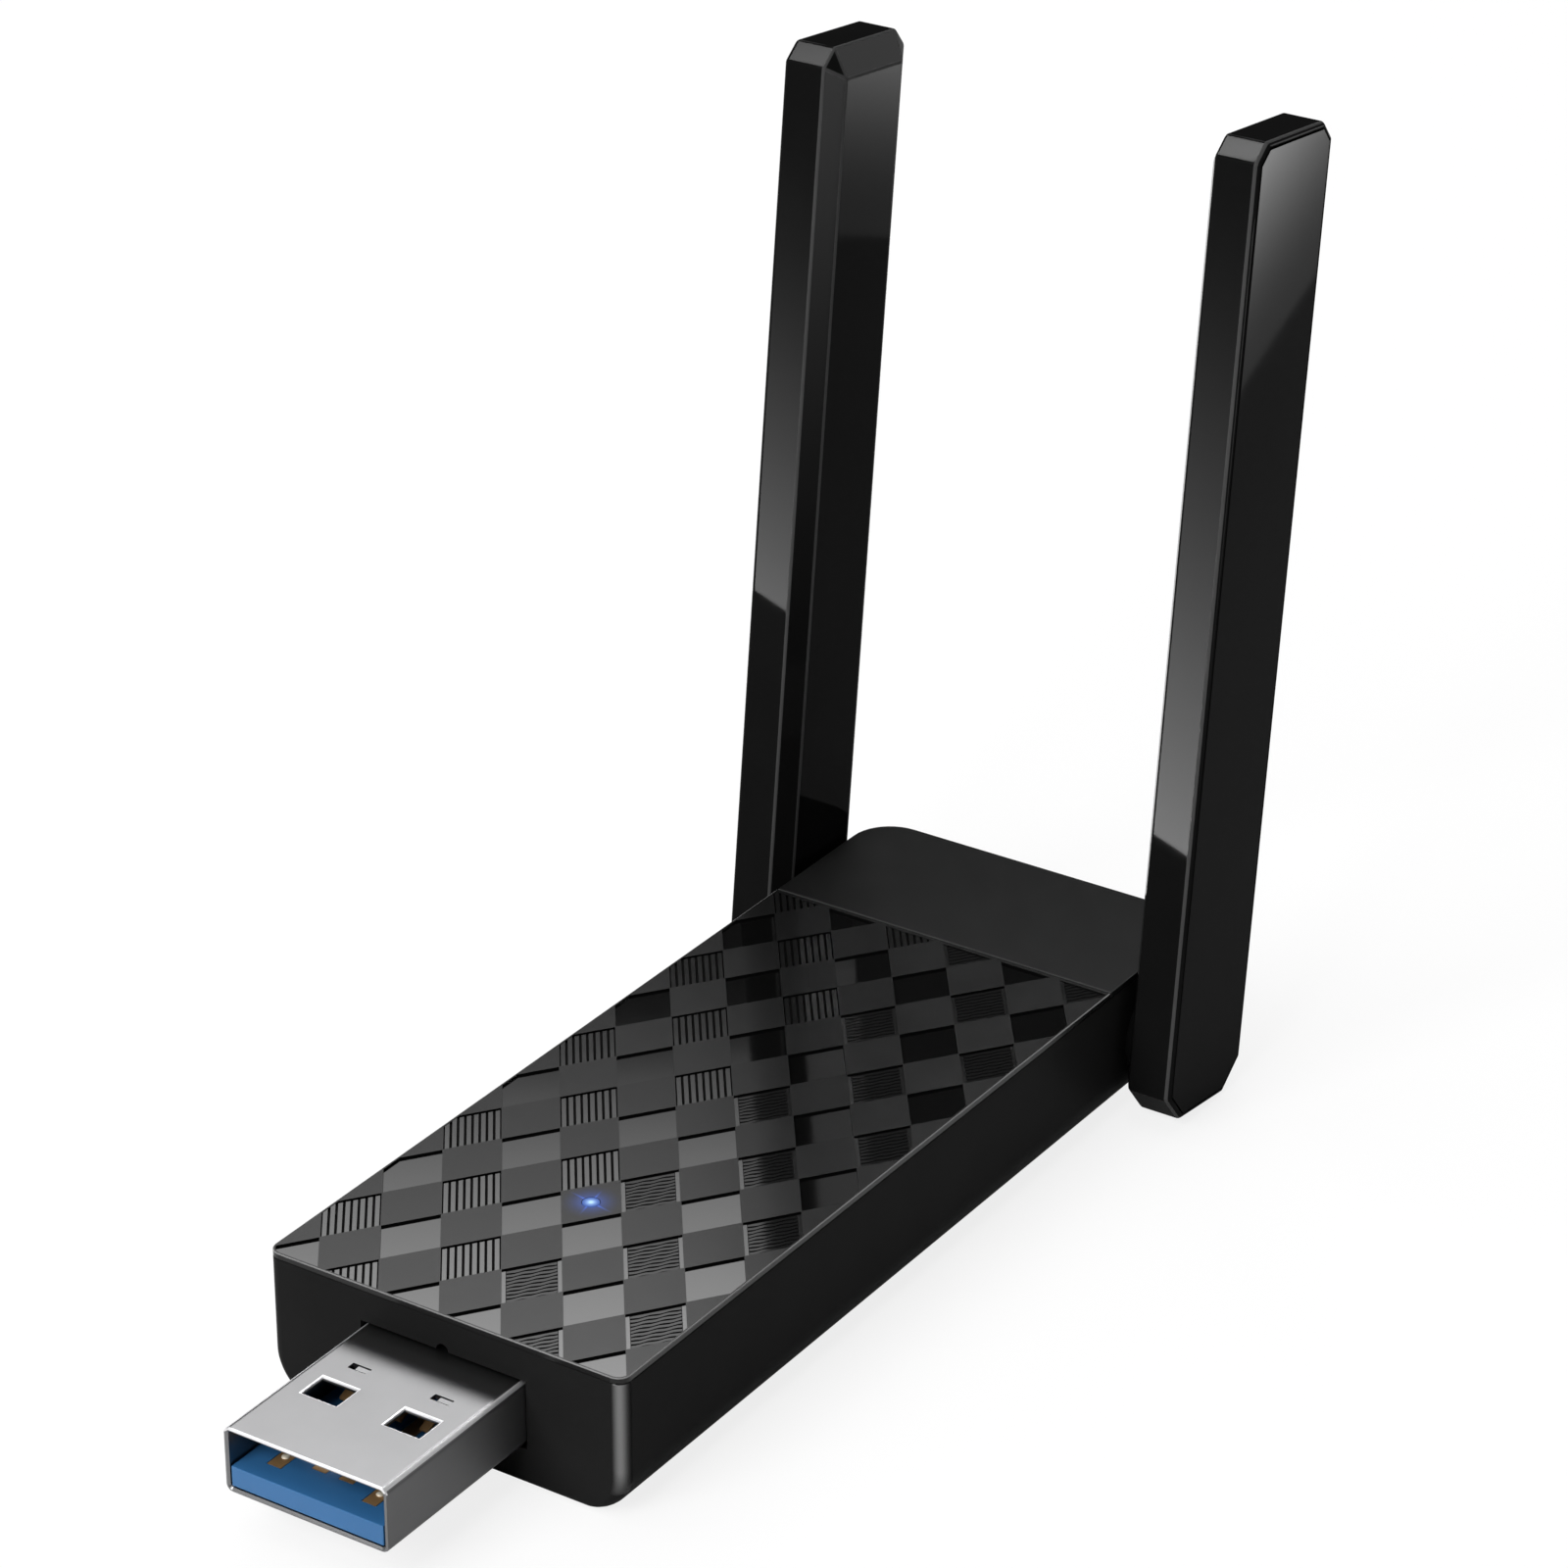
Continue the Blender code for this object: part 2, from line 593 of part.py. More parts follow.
def make_pattern_plate():
    """Top cover up to the seam: a thin rim over the walls, a step between them and four snap hooks."""
    rim = rounded_outline([(-HALF_WIDTH, FRONT, FRONT_RADIUS), (HALF_WIDTH, FRONT, FRONT_RADIUS),
                           (HALF_WIDTH, SEAM, 0.0), (-HALF_WIDTH, SEAM, 0.0)])
    plate = prism("pattern_plate", rim, RIM_BOTTOM, BODY_HEIGHT, "Z", CHECK_GREY)
    inset = CASE_WALL + SLIP
    step = box("plate_step", (-HALF_WIDTH + inset, FRONT + inset, STEP_BOTTOM),
               (HALF_WIDTH - inset, SEAM - LIP_LENGTH - SLIP, RIM_BOTTOM + COVER_RIM / 2))
    join(plate, step)
    for name, side in SIDES:
        for index, place in enumerate(hook_places()):
            join(plate, prism(f"plate_hook_{name}_{index}", hook_outline(INNER_HALF, side),
                              place - HOOK_WIDTH / 2, place + HOOK_WIDTH / 2, "Y"))
    hole = cylinder("guide_hole", GUIDE_RADIUS + SLIP, (0.0, LED_Y, 0.0), STEP_BOTTOM - OVERLAP,
                    BODY_HEIGHT + OVERLAP, "Z")
    return cut(plate, hole)


def make_rear_cover():
    """Smooth cover behind the seam, with a lip under the pattern plate and one hook at the rear."""
    start = SEAM + SEAM_GAP
    rim = rounded_outline([(-HALF_WIDTH, start, 0.0), (HALF_WIDTH, start, 0.0),
                           (HALF_WIDTH, REAR, REAR_RADIUS), (-HALF_WIDTH, REAR, REAR_RADIUS)])
    cover = prism("rear_cover", rim, RIM_BOTTOM, BODY_HEIGHT, "Z", SATIN_BLACK)
    inset = CASE_WALL + SLIP
    half = HALF_WIDTH - inset
    inner_radius = max(REAR_RADIUS - CASE_WALL, SEAT)
    step = rounded_outline([(-half, start, 0.0), (half, start, 0.0), (half, REAR - inset, inner_radius),
                            (-half, REAR - inset, inner_radius)])
    join(cover, prism("cover_step", step, STEP_BOTTOM, RIM_BOTTOM + COVER_RIM / 2, "Z"))
    lip_top = RIM_BOTTOM - SEAT
    join(cover, box("cover_lip", (-half + SLIP, SEAM - LIP_LENGTH, lip_top - LIP_THICKNESS),
                    (half - SLIP, start + OVERLAP, lip_top)))
    hook = prism("cover_hook", hook_outline(INNER_REAR, 1), -HOOK_WIDTH / 2, HOOK_WIDTH / 2, "X")
    return join(cover, hook)


# Plug

def make_usb_shell():
    """Folded steel shell, open at both ends, with windows, detent slots and two solder legs."""
    section = box_outline(-PLUG_WIDTH / 2, PLUG_AXIS - PLUG_HEIGHT / 2, PLUG_WIDTH / 2,
                          PLUG_AXIS + PLUG_HEIGHT / 2, PLUG_CORNER)
    inside = box_outline(-PLUG_INNER_HALF, PLUG_INNER_BOTTOM, PLUG_INNER_HALF, PLUG_INNER_TOP,
                         PLUG_INNER_CORNER)
    shell = prism("usb_shell", section, PLUG_TIP, PLUG_BACK, "Y", PLUG_STEEL)
    for name, side in SIDES:
        ends = sorted((side * (PLUG_INNER_HALF + LEG_INSET), side * (PLUG_WIDTH / 2 - LEG_INSET)))
        back = PLUG_BACK - LEG_FROM_TAIL
        join(shell, box(f"shell_leg_{name}", (ends[0], back - LEG_LENGTH, BOARD_BOTTOM + SLIP),
                        (ends[1], back, PLUG_AXIS)))
    cut(shell, prism("shell_inside", inside, PLUG_TIP - OVERLAP, PLUG_BACK + OVERLAP, "Y"))
    for name, side in SIDES:
        middle = side * WINDOW_SIDE
        window_y = FRONT - WINDOW_FROM_CASE
        detent_y = FRONT - DETENT_FROM_CASE
        window = box(f"shell_window_{name}",
                     (middle - WINDOW_WIDTH / 2, window_y - WINDOW_LENGTH / 2, PART_SEAT - OVERLAP),
                     (middle + WINDOW_WIDTH / 2, window_y + WINDOW_LENGTH / 2, PLUG_INNER_TOP + OVERLAP))
        detent = box(f"shell_detent_{name}",
                     (middle - DETENT_WIDTH / 2, detent_y - DETENT_LENGTH / 2, PLUG_AXIS),
                     (middle + DETENT_WIDTH / 2, detent_y + DETENT_LENGTH / 2, PLUG_INNER_TOP + OVERLAP))
        cut(shell, window, detent)
    return shell


def flat_contacts():
    """Name, place across the tongue and front end of each flat contact."""
    power_y = TONGUE_TIP + POWER_CONTACT_SETBACK
    data_y = TONGUE_TIP + DATA_CONTACT_SETBACK
    return (("usb_contact_power", -POWER_CONTACT_SIDE, power_y),
            ("usb_contact_data_minus", -DATA_CONTACT_SIDE, data_y),
            ("usb_contact_data_plus", DATA_CONTACT_SIDE, data_y),
            ("usb_contact_ground", POWER_CONTACT_SIDE, power_y))


def fast_contact_places():
    """Places of the fast spring contacts across the plug."""
    middle = (FAST_CONTACT_COUNT - 1) / 2
    return [(index - middle) * FAST_CONTACT_PITCH for index in range(FAST_CONTACT_COUNT)]


def make_usb_insulator():
    """Tongue and base block, with a groove or slot for every contact."""
    section = box_outline(-PLUG_INNER_HALF + SLIP, PLUG_INNER_BOTTOM + SLIP, PLUG_INNER_HALF - SLIP,
                          PLUG_INNER_TOP - SLIP, PLUG_INNER_CORNER)
    base_front = FRONT - BASE_FROM_CASE
    low, high = PLUG_INNER_BOTTOM - OVERLAP, PLUG_INNER_TOP + OVERLAP
    step = [(TONGUE_TIP, low), (PLUG_BACK, low), (PLUG_BACK, high), (base_front, high),
            (base_front, TONGUE_TOP), (TONGUE_TIP, TONGUE_TOP)]
    block = prism("usb_insulator", step, -PLUG_WIDTH / 2, PLUG_WIDTH / 2, "X", BLUE_PLASTIC)
    keep_inside(block, prism("insulator_section", section, TONGUE_TIP - OVERLAP, PLUG_BACK + OVERLAP, "Y"))
    for name, place, front in flat_contacts():
        half = CONTACT_WIDTH / 2 + SEAT
        cut(block, box(name + "_groove", (place - half, front - SEAT, TONGUE_TOP - CONTACT_THICKNESS - SEAT),
                       (place + half, PLUG_BACK + OVERLAP, TONGUE_TOP + SLIP)))
    for index, place in enumerate(fast_contact_places(), 1):
        half = FAST_CONTACT_WIDTH / 2 + SEAT
        cut(block, box(f"fast_slot_{index}", (place - half, base_front - OVERLAP, FAST_CONTACT_Z - SEAT),
                       (place + half, PLUG_BACK + OVERLAP, FAST_CONTACT_Z + CONTACT_THICKNESS + SEAT)))
    return block


def contact_tail(tail, top):
    """Outline of a strip's end that runs down behind the plug to a foot on the board, in (Y, Z)."""
    thick = CONTACT_THICKNESS
    return [(tail - thick, top - thick), (tail - thick, PART_SEAT), (tail + CONTACT_FOOT, PART_SEAT),
            (tail + CONTACT_FOOT, PART_SEAT + thick), (tail, PART_SEAT + thick), (tail, top)]


def make_contacts():
    """Four flat contacts on the tongue and the fast spring contacts behind them."""
    half = CONTACT_WIDTH / 2
    for name, place, front in flat_contacts():
        outline = [(front, TONGUE_TOP), (front, TONGUE_TOP - CONTACT_THICKNESS)]
        outline += contact_tail(TAIL_Y, TONGUE_TOP)
        prism(name, outline, place - half, place + half, "X", CONTACT_GOLD)
    half = FAST_CONTACT_WIDTH / 2
    root = FRONT - BASE_FROM_CASE
    for index, place in enumerate(fast_contact_places(), 1):
        steps = [step / ARC_STEPS for step in range(ARC_STEPS + 1)]
        spine = [(root - FAST_CONTACT_REACH * (1 - part), math.sin(math.pi * part) * FAST_CONTACT_HUMP)
                 for part in steps]
        upper = [(y, FAST_CONTACT_Z + CONTACT_THICKNESS + rise) for y, rise in spine]
        lower = [(y, FAST_CONTACT_Z + rise) for y, rise in spine]
        outline = upper[::-1] + lower + contact_tail(FAST_TAIL_Y, FAST_CONTACT_Z + CONTACT_THICKNESS)
        prism(f"usb_fast_contact_{index}", outline, place - half, place + half, "X", CONTACT_GOLD)


# Board

def on_board(name, size, x, y, material):
    """A small box-shaped part standing on the board."""
    width, length, height = size
    part = box(name, (x - width / 2, y - length / 2, PART_SEAT),
               (x + width / 2, y + length / 2, PART_SEAT + height), material)
    return bevel_edges(part, CHIP_BEVEL)


def make_board():
    """The circuit board, slotted for the plug's solder legs."""
    board = box("main_board", (-BOARD_HALF, BOARD_FRONT, BOARD_BOTTOM), (BOARD_HALF, BOARD_REAR, BOARD_TOP),
                BOARD_GREEN)
    back = PLUG_BACK - LEG_FROM_TAIL
    for name, side in SIDES:
        ends = sorted((side * (PLUG_INNER_HALF - SLIP), side * (PLUG_WIDTH / 2 + SLIP)))
        cut(board, box(f"leg_slot_{name}", (ends[0], back - LEG_LENGTH - SLIP, BOARD_BOTTOM - OVERLAP),
                       (ends[1], back + SLIP, BOARD_TOP + OVERLAP)))
    return board


def make_radio():
    """Chip, crystal, thermal pad and the two-piece shield can."""
    on_board("wifi_chip", (CHIP_SIZE, CHIP_SIZE, CHIP_HEIGHT), 0.0, RADIO_Y, CHIP_BLACK)
    crystal_y = RADIO_Y + CHIP_SIZE / 2 + CRYSTAL_GAP + CRYSTAL_SIZE[1] / 2
    on_board("crystal", CRYSTAL_SIZE, 0.0, crystal_y, TIN_PLATE)
    half = CHIP_SIZE / 2
    box("thermal_pad", (-half, RADIO_Y - half, CHIP_TOP + SEAT), (half, RADIO_Y + half, LID_UNDERSIDE - SEAT),
        PAD_GREY)
    half_x, half_y = CAN_WIDTH / 2, CAN_LENGTH / 2
    frame = box("shield_frame", (-half_x, RADIO_Y - half_y, PART_SEAT), (half_x, RADIO_Y + half_y, CAN_TOP),
                TIN_PLATE)
    hole_x, hole_y = half_x - CAN_SHEET, half_y - CAN_SHEET
    cut(frame, box("frame_hole", (-hole_x, RADIO_Y - hole_y, PART_SEAT - OVERLAP),
                   (hole_x, RADIO_Y + hole_y, CAN_TOP + OVERLAP)))
    room_x, room_y = half_x + SEAT, half_y + SEAT
    out_x, out_y = room_x + CAN_SHEET, room_y + CAN_SHEET
    lid = box("shield_lid", (-out_x, RADIO_Y - out_y, CAN_TOP - CAN_SKIRT),
              (out_x, RADIO_Y + out_y, LID_UNDERSIDE + CAN_SHEET), TIN_PLATE)
    cut(lid, box("lid_room", (-room_x, RADIO_Y - room_y, CAN_TOP - CAN_SKIRT - OVERLAP),
                 (room_x, RADIO_Y + room_y, LID_UNDERSIDE)))


def make_indicator():
    """Indicator lamp and the clear guide that carries its light to the pattern plate."""
    on_board("led_chip", LED_SIZE, 0.0, LED_Y, CLEAR_PLASTIC)
    low = PART_SEAT + LED_SIZE[2] + GUIDE_LED_GAP
    centre = (0.0, LED_Y, 0.0)
    guide = cylinder("light_guide", GUIDE_RADIUS, centre, low, BODY_HEIGHT, "Z", CLEAR_PLASTIC)
    collar_top = STEP_BOTTOM - SEAT
    join(guide, cylinder("guide_collar", GUIDE_COLLAR_RADIUS, centre, collar_top - GUIDE_COLLAR_HEIGHT,
                         collar_top, "Z"))


def make_power_parts():
    """Voltage regulator and its coil, between the plug and the lamp."""
    on_board("regulator_chip", REGULATOR_SIZE, -POWER_SIDE, POWER_Y, CHIP_BLACK)
    on_board("power_inductor", INDUCTOR_SIZE, POWER_SIDE, POWER_Y, CHIP_BLACK)


def make_leads():
    """Coaxial connectors on the board and the leads from them into the hollow hinge pins."""
    base_top = PART_SEAT + CONNECTOR_BASE_HEIGHT
    connector_top = base_top + CONNECTOR_HEIGHT
    plug_low = connector_top + SEAT
    plug_middle = plug_low + LEAD_PLUG_HEIGHT / 2
    for name, side in SIDES:
        x = side * CONNECTOR_X
        centre = (x, CONNECTOR_Y, 0.0)
        half = CONNECTOR_BASE / 2
        connector = box(f"rf_connector_{name}", (x - half, CONNECTOR_Y - half, PART_SEAT),
                        (x + half, CONNECTOR_Y + half, base_top), CONTACT_GOLD)
        join(connector, cylinder(f"connector_post_{name}", CONNECTOR_RADIUS, centre, base_top - SLIP,
                                 connector_top, "Z"))
        lead = cylinder(f"coax_lead_{name}", LEAD_PLUG_RADIUS, centre, plug_low, plug_low + LEAD_PLUG_HEIGHT,
                        "Z", LEAD_GREY)
        straight = BOARD_HINGE_GAP - WASHER_RADIUS
        bend = PIN_IN - CONNECTOR_X
        route = [(x, CONNECTOR_Y, plug_middle),
                 (x, CONNECTOR_Y + CONNECTOR_FROM_REAR, plug_middle),
                 (side * (CONNECTOR_X + bend * LEAD_TURN_START), HINGE_Y - straight, HINGE_HEIGHT),
                 (side * (CONNECTOR_X + bend * LEAD_TURN_END), HINGE_Y, HINGE_HEIGHT),
                 (side * PIN_IN, HINGE_Y, HINGE_HEIGHT),
                 (side * LEAD_MEET, HINGE_Y, HINGE_HEIGHT)]
        join(lead, tube(f"lead_run_{name}", route, LEAD_RADIUS))


# Hinges and antennas

def make_hinge_empties():
    """One empty on each hinge axis, turned to the antenna's lean."""
    empties = {}
    for name, side in SIDES:
        empty = bpy.data.objects.new(f"hinge_axis_{name}", None)
        PARTS.objects.link(empty)
        empty.location = (0.0, HINGE_Y, HINGE_HEIGHT)
        empty.rotation_euler = (-ANTENNA_LEAN, 0.0, 0.0)
        empties[name] = empty
    return empties


def make_hinge(name, side, axis):
    """Hollow pin through the case wall, with a friction washer and a spring clip inside."""
    groove_out, groove_in = CLIP_OUT + RUNNING, CLIP_IN - RUNNING
    pin = [(PIN_HEAD_OUT, PIN_BORE_RADIUS), (PIN_HEAD_OUT, PIN_HEAD_RADIUS), (PIN_HEAD_IN, PIN_HEAD_RADIUS),
           (PIN_HEAD_IN, PIN_RADIUS), (groove_out, PIN_RADIUS), (groove_out, PIN_GROOVE_RADIUS),
           (groove_in, PIN_GROOVE_RADIUS), (groove_in, PIN_RADIUS), (PIN_IN, PIN_RADIUS),
           (PIN_IN, PIN_BORE_RADIUS)]
    turned(f"hinge_pin_{name}", pin, (0.0, 0.0, 0.0), side, SPRING_STEEL, axis)
    hole = (PIN_RADIUS + RUNNING) * FACET_FIT
    washer = [(WASHER_OUT, hole), (WASHER_OUT, WASHER_RADIUS), (WASHER_OUT - WASHER_THICKNESS, WASHER_RADIUS),
              (WASHER_OUT - WASHER_THICKNESS, hole)]
    turned(f"friction_washer_{name}", washer, (0.0, HINGE_Y, HINGE_HEIGHT), side, SPRING_STEEL)
    grip = (PIN_GROOVE_RADIUS + SEAT) * FACET_FIT
    span = 2 * math.pi - CLIP_MOUTH
    angles = [CLIP_MOUTH / 2 + span * step / ROUND for step in range(ROUND + 1)]
    ring = [(CLIP_RADIUS * math.cos(angle), CLIP_RADIUS * math.sin(angle)) for angle in angles]
    ring += [(grip * math.cos(angle), grip * math.sin(angle)) for angle in reversed(angles)]
    ends = sorted((side * CLIP_IN, side * CLIP_OUT))
    prism(f"hinge_clip_{name}", ring, *ends, "X", SPRING_STEEL, axis)


def antenna_outline(inset):
    """Front-to-back outline of an antenna, all sides moved in by an inset, with its corners cut."""
    half = ANTENNA_DEPTH / 2 - inset
    tip = ANTENNA_TIP - inset
    end = -ANTENNA_END + inset
    shrink = inset * (2 - math.sqrt(2))
    tip_cut = max(TIP_CUT - shrink, SEAT)
    end_cut = max(END_CUT - shrink, SEAT)
    return [(-half + end_cut, end), (half - end_cut, end), (half, end + end_cut), (half, tip - tip_cut),
            (half - tip_cut, tip), (-half + tip_cut, tip), (-half, tip - tip_cut), (-half, end + end_cut)]


def antenna_body(name, side, axis):
    """Solid form of an antenna: cut-corner prism, bevelled outside and chamfered to a plain inner face."""
    half = ANTENNA_DEPTH / 2 - CHAMFER_SIDE
    low, high = -ANTENNA_END + CHAMFER_END, ANTENNA_TIP - CHAMFER_END
    inner_face = [(-half, low), (half, low), (half, high), (-half, high)]
    levels = ((ANTENNA_IN, inner_face),
              (ANTENNA_IN + CHAMFER_DEPTH, antenna_outline(0.0)),
              (ANTENNA_OUT - EDGE_BEVEL, antenna_outline(0.0)),
              (ANTENNA_OUT, antenna_outline(EDGE_BEVEL)))

    def build(bm):
        for out, outline in levels:
            for along, up in outline:
                bm.verts.new((side * out, along, up))
        bmesh.ops.convex_hull(bm, input=bm.verts)

    return new_object(name, mesh_from(name, build), GLOSS_BLACK, axis)


def make_antenna(name, side, axis):
    """Antenna shell with its hinge collar, outer lid, radiating element and inner lead."""
    shell = antenna_body(f"antenna_shell_{name}", side, axis)

    def across(near, far):
        return sorted((side * near, side * far))

    origin = (0.0, 0.0, 0.0)
    collar = cylinder(f"collar_{name}", COLLAR_RADIUS, origin,
                      *across(HALF_WIDTH + RUNNING, ANTENNA_IN + OVERLAP), "X", None, axis)
    join(shell, collar)
    hollow = prism(f"hollow_{name}", antenna_outline(ANTENNA_WALL),
                   *across(ANTENNA_FLOOR, ANTENNA_OUT + OVERLAP), "X", None, axis)
    for place, up in (("low", ELEMENT_LOW + ELEMENT_RIB_INSET), ("high", ELEMENT_HIGH - ELEMENT_RIB_INSET)):
        ends = across(ANTENNA_FLOOR - OVERLAP, ELEMENT_IN - SEAT)
        cut(hollow, box(f"element_rib_{name}_{place}", (ends[0], -ELEMENT_WIDTH / 2, up - ELEMENT_RIB / 2),
                        (ends[1], ELEMENT_WIDTH / 2, up + ELEMENT_RIB / 2), None, axis))
    recess = prism(f"lid_recess_{name}", antenna_outline(LID_RIM - LID_GAP),
                   *across(LID_IN - SEAT, ANTENNA_OUT + OVERLAP), "X", None, axis)
    hole = cylinder(f"pin_hole_{name}", (PIN_RADIUS + SEAT) * FACET_FIT, origin,
                    *across(HALF_WIDTH - OVERLAP, ANTENNA_FLOOR + OVERLAP), "X", None, axis)
    cut(shell, hollow, recess, hole)
    prism(f"antenna_cover_{name}", antenna_outline(LID_RIM), *across(LID_IN, ANTENNA_OUT), "X",
          GLOSS_BLACK, axis)
    ends = across(ELEMENT_IN, ELEMENT_OUT)
    box(f"antenna_element_{name}", (ends[0], -ELEMENT_WIDTH / 2, ELEMENT_LOW),
        (ends[1], ELEMENT_WIDTH / 2, ELEMENT_HIGH), BOARD_GREEN, axis)
    cylinder(f"antenna_lead_{name}", LEAD_RADIUS, origin,
             *across(LEAD_MEET + LEAD_ROOM, ELEMENT_IN - SEAT), "X", LEAD_GREY, axis)


def main():
    """Build every piece."""
    make_lower_case()
    make_pattern_plate()
    make_rear_cover()
    make_usb_shell()
    make_usb_insulator()
    make_contacts()
    make_board()
    make_radio()
    make_indicator()
    make_power_parts()
    make_leads()
    axes = make_hinge_empties()
    for name, side in SIDES:
        make_hinge(name, side, axes[name])
        make_antenna(name, side, axes[name])


main()
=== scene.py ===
"""Looks of a USB wireless adapter with two folding antennas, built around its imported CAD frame.

Laid out as an add-on and run as a script.  Everything is in metres, in the frame of the CAD model:
+Z up, the plug to -Y, and the origin in the middle of the case's underside.
"""

import json
import math

import bmesh
import bpy
from bpy.props import (
    FloatProperty,
    FloatVectorProperty,
    IntProperty,
    PointerProperty,
)
from mathutils import Matrix, Vector


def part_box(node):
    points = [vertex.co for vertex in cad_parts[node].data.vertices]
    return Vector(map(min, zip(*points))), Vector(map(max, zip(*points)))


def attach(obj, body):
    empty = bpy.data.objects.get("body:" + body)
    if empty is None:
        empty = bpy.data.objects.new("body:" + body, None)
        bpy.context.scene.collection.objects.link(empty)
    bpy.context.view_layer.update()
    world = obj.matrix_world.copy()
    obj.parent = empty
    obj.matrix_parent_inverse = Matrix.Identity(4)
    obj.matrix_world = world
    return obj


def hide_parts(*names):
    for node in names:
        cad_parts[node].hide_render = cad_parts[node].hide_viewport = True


bl_info = {
    "name": "Wireless adapter looks",
    "version": (1, 0, 0),
    "blender": (4, 5, 0),
    "location": "3D View > Sidebar > Adapter",
    "description": "Dresses the packed frame of a USB wireless adapter with two folding antennas",
    "category": "Object",
}

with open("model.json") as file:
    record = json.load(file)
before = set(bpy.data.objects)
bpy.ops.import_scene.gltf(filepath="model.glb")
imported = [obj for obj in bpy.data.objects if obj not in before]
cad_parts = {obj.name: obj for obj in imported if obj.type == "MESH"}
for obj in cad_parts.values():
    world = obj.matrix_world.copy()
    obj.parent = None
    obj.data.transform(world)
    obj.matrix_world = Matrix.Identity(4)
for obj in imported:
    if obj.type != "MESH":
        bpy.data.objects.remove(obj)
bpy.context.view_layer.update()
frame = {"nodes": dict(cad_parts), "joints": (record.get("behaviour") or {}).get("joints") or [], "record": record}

MM = 0.001
SIDES = (("left", -1), ("right", 1))

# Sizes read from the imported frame
CASE_LOW, CASE_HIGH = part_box("lower_case")
PLATE_LOW, PLATE_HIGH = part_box("pattern_plate")
PLUG_LOW, PLUG_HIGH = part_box("usb_shell")
TONGUE_LOW, TONGUE_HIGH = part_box("usb_insulator")
GUIDE_LOW, GUIDE_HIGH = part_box("light_guide")
HINGE = Vector(frame["joints"][0]["pos_m"])

HALF_WIDTH = CASE_HIGH.x
FRONT = CASE_LOW.y
REAR = CASE_HIGH.y
CASE_TOP = CASE_HIGH.z
BODY_TOP = PLATE_HIGH.z
SEAM_FRONT = PLATE_HIGH.y
LIGHT_X = (GUIDE_LOW.x + GUIDE_HIGH.x) / 2
LIGHT_Y = (GUIDE_LOW.y + GUIDE_HIGH.y) / 2

# Mesh building
OVERLAP = 0.4 * MM
LEAST_RADIUS = 0.05 * MM
WELD = 0.0005 * MM
SMOOTH_ANGLE = math.radians(32.0)
FLAT_ANGLE = math.radians(1.0)
CORNER_STEPS = 10
FINE_CORNER_STEPS = 2
ROUND_STEPS = 48
ROUND_SHARE = 1.0 - math.sqrt(0.5)
EASED_SHARE = 0.3

# Order of the finishes on a piece
# The second finish carries a painted highlight
MAIN, HIGHLIGHT_FINISH = range(2)
# EDGE carries a painted highlight, WALL a painted shade
PLAIN, POLISHED, RIBBED, TEXTURED, WALL, EDGE = range(6)
# The second finish carries a painted highlight, the third a painted shade
STEEL, PLUG_HIGHLIGHT, FLANK = range(3)

# Finishes
NOISE_LOW = 0.3
NOISE_HIGH = 0.7
SOFT_DETAIL = 3.0
FINE_DETAIL = 4.0
CLOUD_SIZE = 6.0 * MM
GLOSS_SIZE = 1.5 * MM
GLOSS_SPREAD = 0.06
TONE_SIZE = 2.5 * MM
SHEET_GRAIN = 0.3 * MM
SHEET_DEPTH = 0.000003 * MM
SHEET_SPREAD = 0.02
EVEN = (1.0, 1.0, 1.0)
DRAWN_ALONG_PLUG = (1.0, 0.06, 1.0)

# Case
CASE_WALL = 1.2 * MM
LOWER_RADIUS = 3.0 * MM
LOWER_STEPS = 14
REAR_RADIUS = 3.0 * MM
FRONT_RADIUS = 0.9 * MM
FRONT_LOWER_RADIUS = 0.6 * MM
SEAM_BREAK = 0.03 * MM
HINGE_BORE_RADIUS = 1.86 * MM
NOTCH_RADIUS = 0.45 * MM
PLUG_GAP = 0.15 * MM

# Painted highlight on the case's front right corner: a shine that peaks partway round it and fades at its foot
CORNER_FOOT = 1.6 * MM
CORNER_FADE = 1.8 * MM
CORNER_FROM = math.sin(math.radians(4.0))
CORNER_TO = math.sin(math.radians(86.0))
CORNER_INDEX = 1.8
CORNER_PEAK = 6.75

# Covers
SEAM_REAR = SEAM_FRONT + 0.1 * MM
RIM_BOTTOM = CASE_TOP + 0.05 * MM
STEP_BOTTOM = PLATE_LOW.z + 2.2 * MM
STEP_TOP = RIM_BOTTOM + OVERLAP / 4
STEP_INSET = CASE_WALL + 0.1 * MM
STEP_SETBACK = 1.6 * MM
GUIDE_HOLE_RADIUS = 0.6 * MM
# Painted shade in the recesses: a darker copy of the plate for the sunk floors and walls
SUNK_PAINTED_SHADE = 0.25
# Painted highlight: a lighter copy of the plate on its broken edge
PLATE_EDGE_HIGHLIGHT = 24.0
# Painted highlight: a lighter copy of the cover's plastic on its edge at the seam
SEAM_HIGHLIGHT = 5.0
SEAM_FACING = 0.3

# Check pattern: rhombic cells, every second one sunk
CELL_WIDTH = 4.56 * MM
CELL_LENGTH = 6.25 * MM
CELL_COLUMNS = 6
CELL_ROWS = 10
FIRST_CELL_X = -11.4 * MM
FIRST_CELL_Y = FRONT - 0.2 * MM
RIBBED_COLUMNS = 3
CELL_EDGE = math.hypot(CELL_WIDTH, CELL_LENGTH) / 2
ALONG_REAR = Vector((CELL_WIDTH, CELL_LENGTH)).normalized()
ALONG_FRONT = Vector((CELL_WIDTH, -CELL_LENGTH)).normalized()
FIELD_DEEPER = 1.2

# Ribbed cells: widths are shares of a rib's pitch, the rise is a share of the recess
RIB_FOOT = 0.8
RIB_TOP = 0.62
RIB_RISE = 0.85
TRENCH_WIDTH = 0.2 * MM

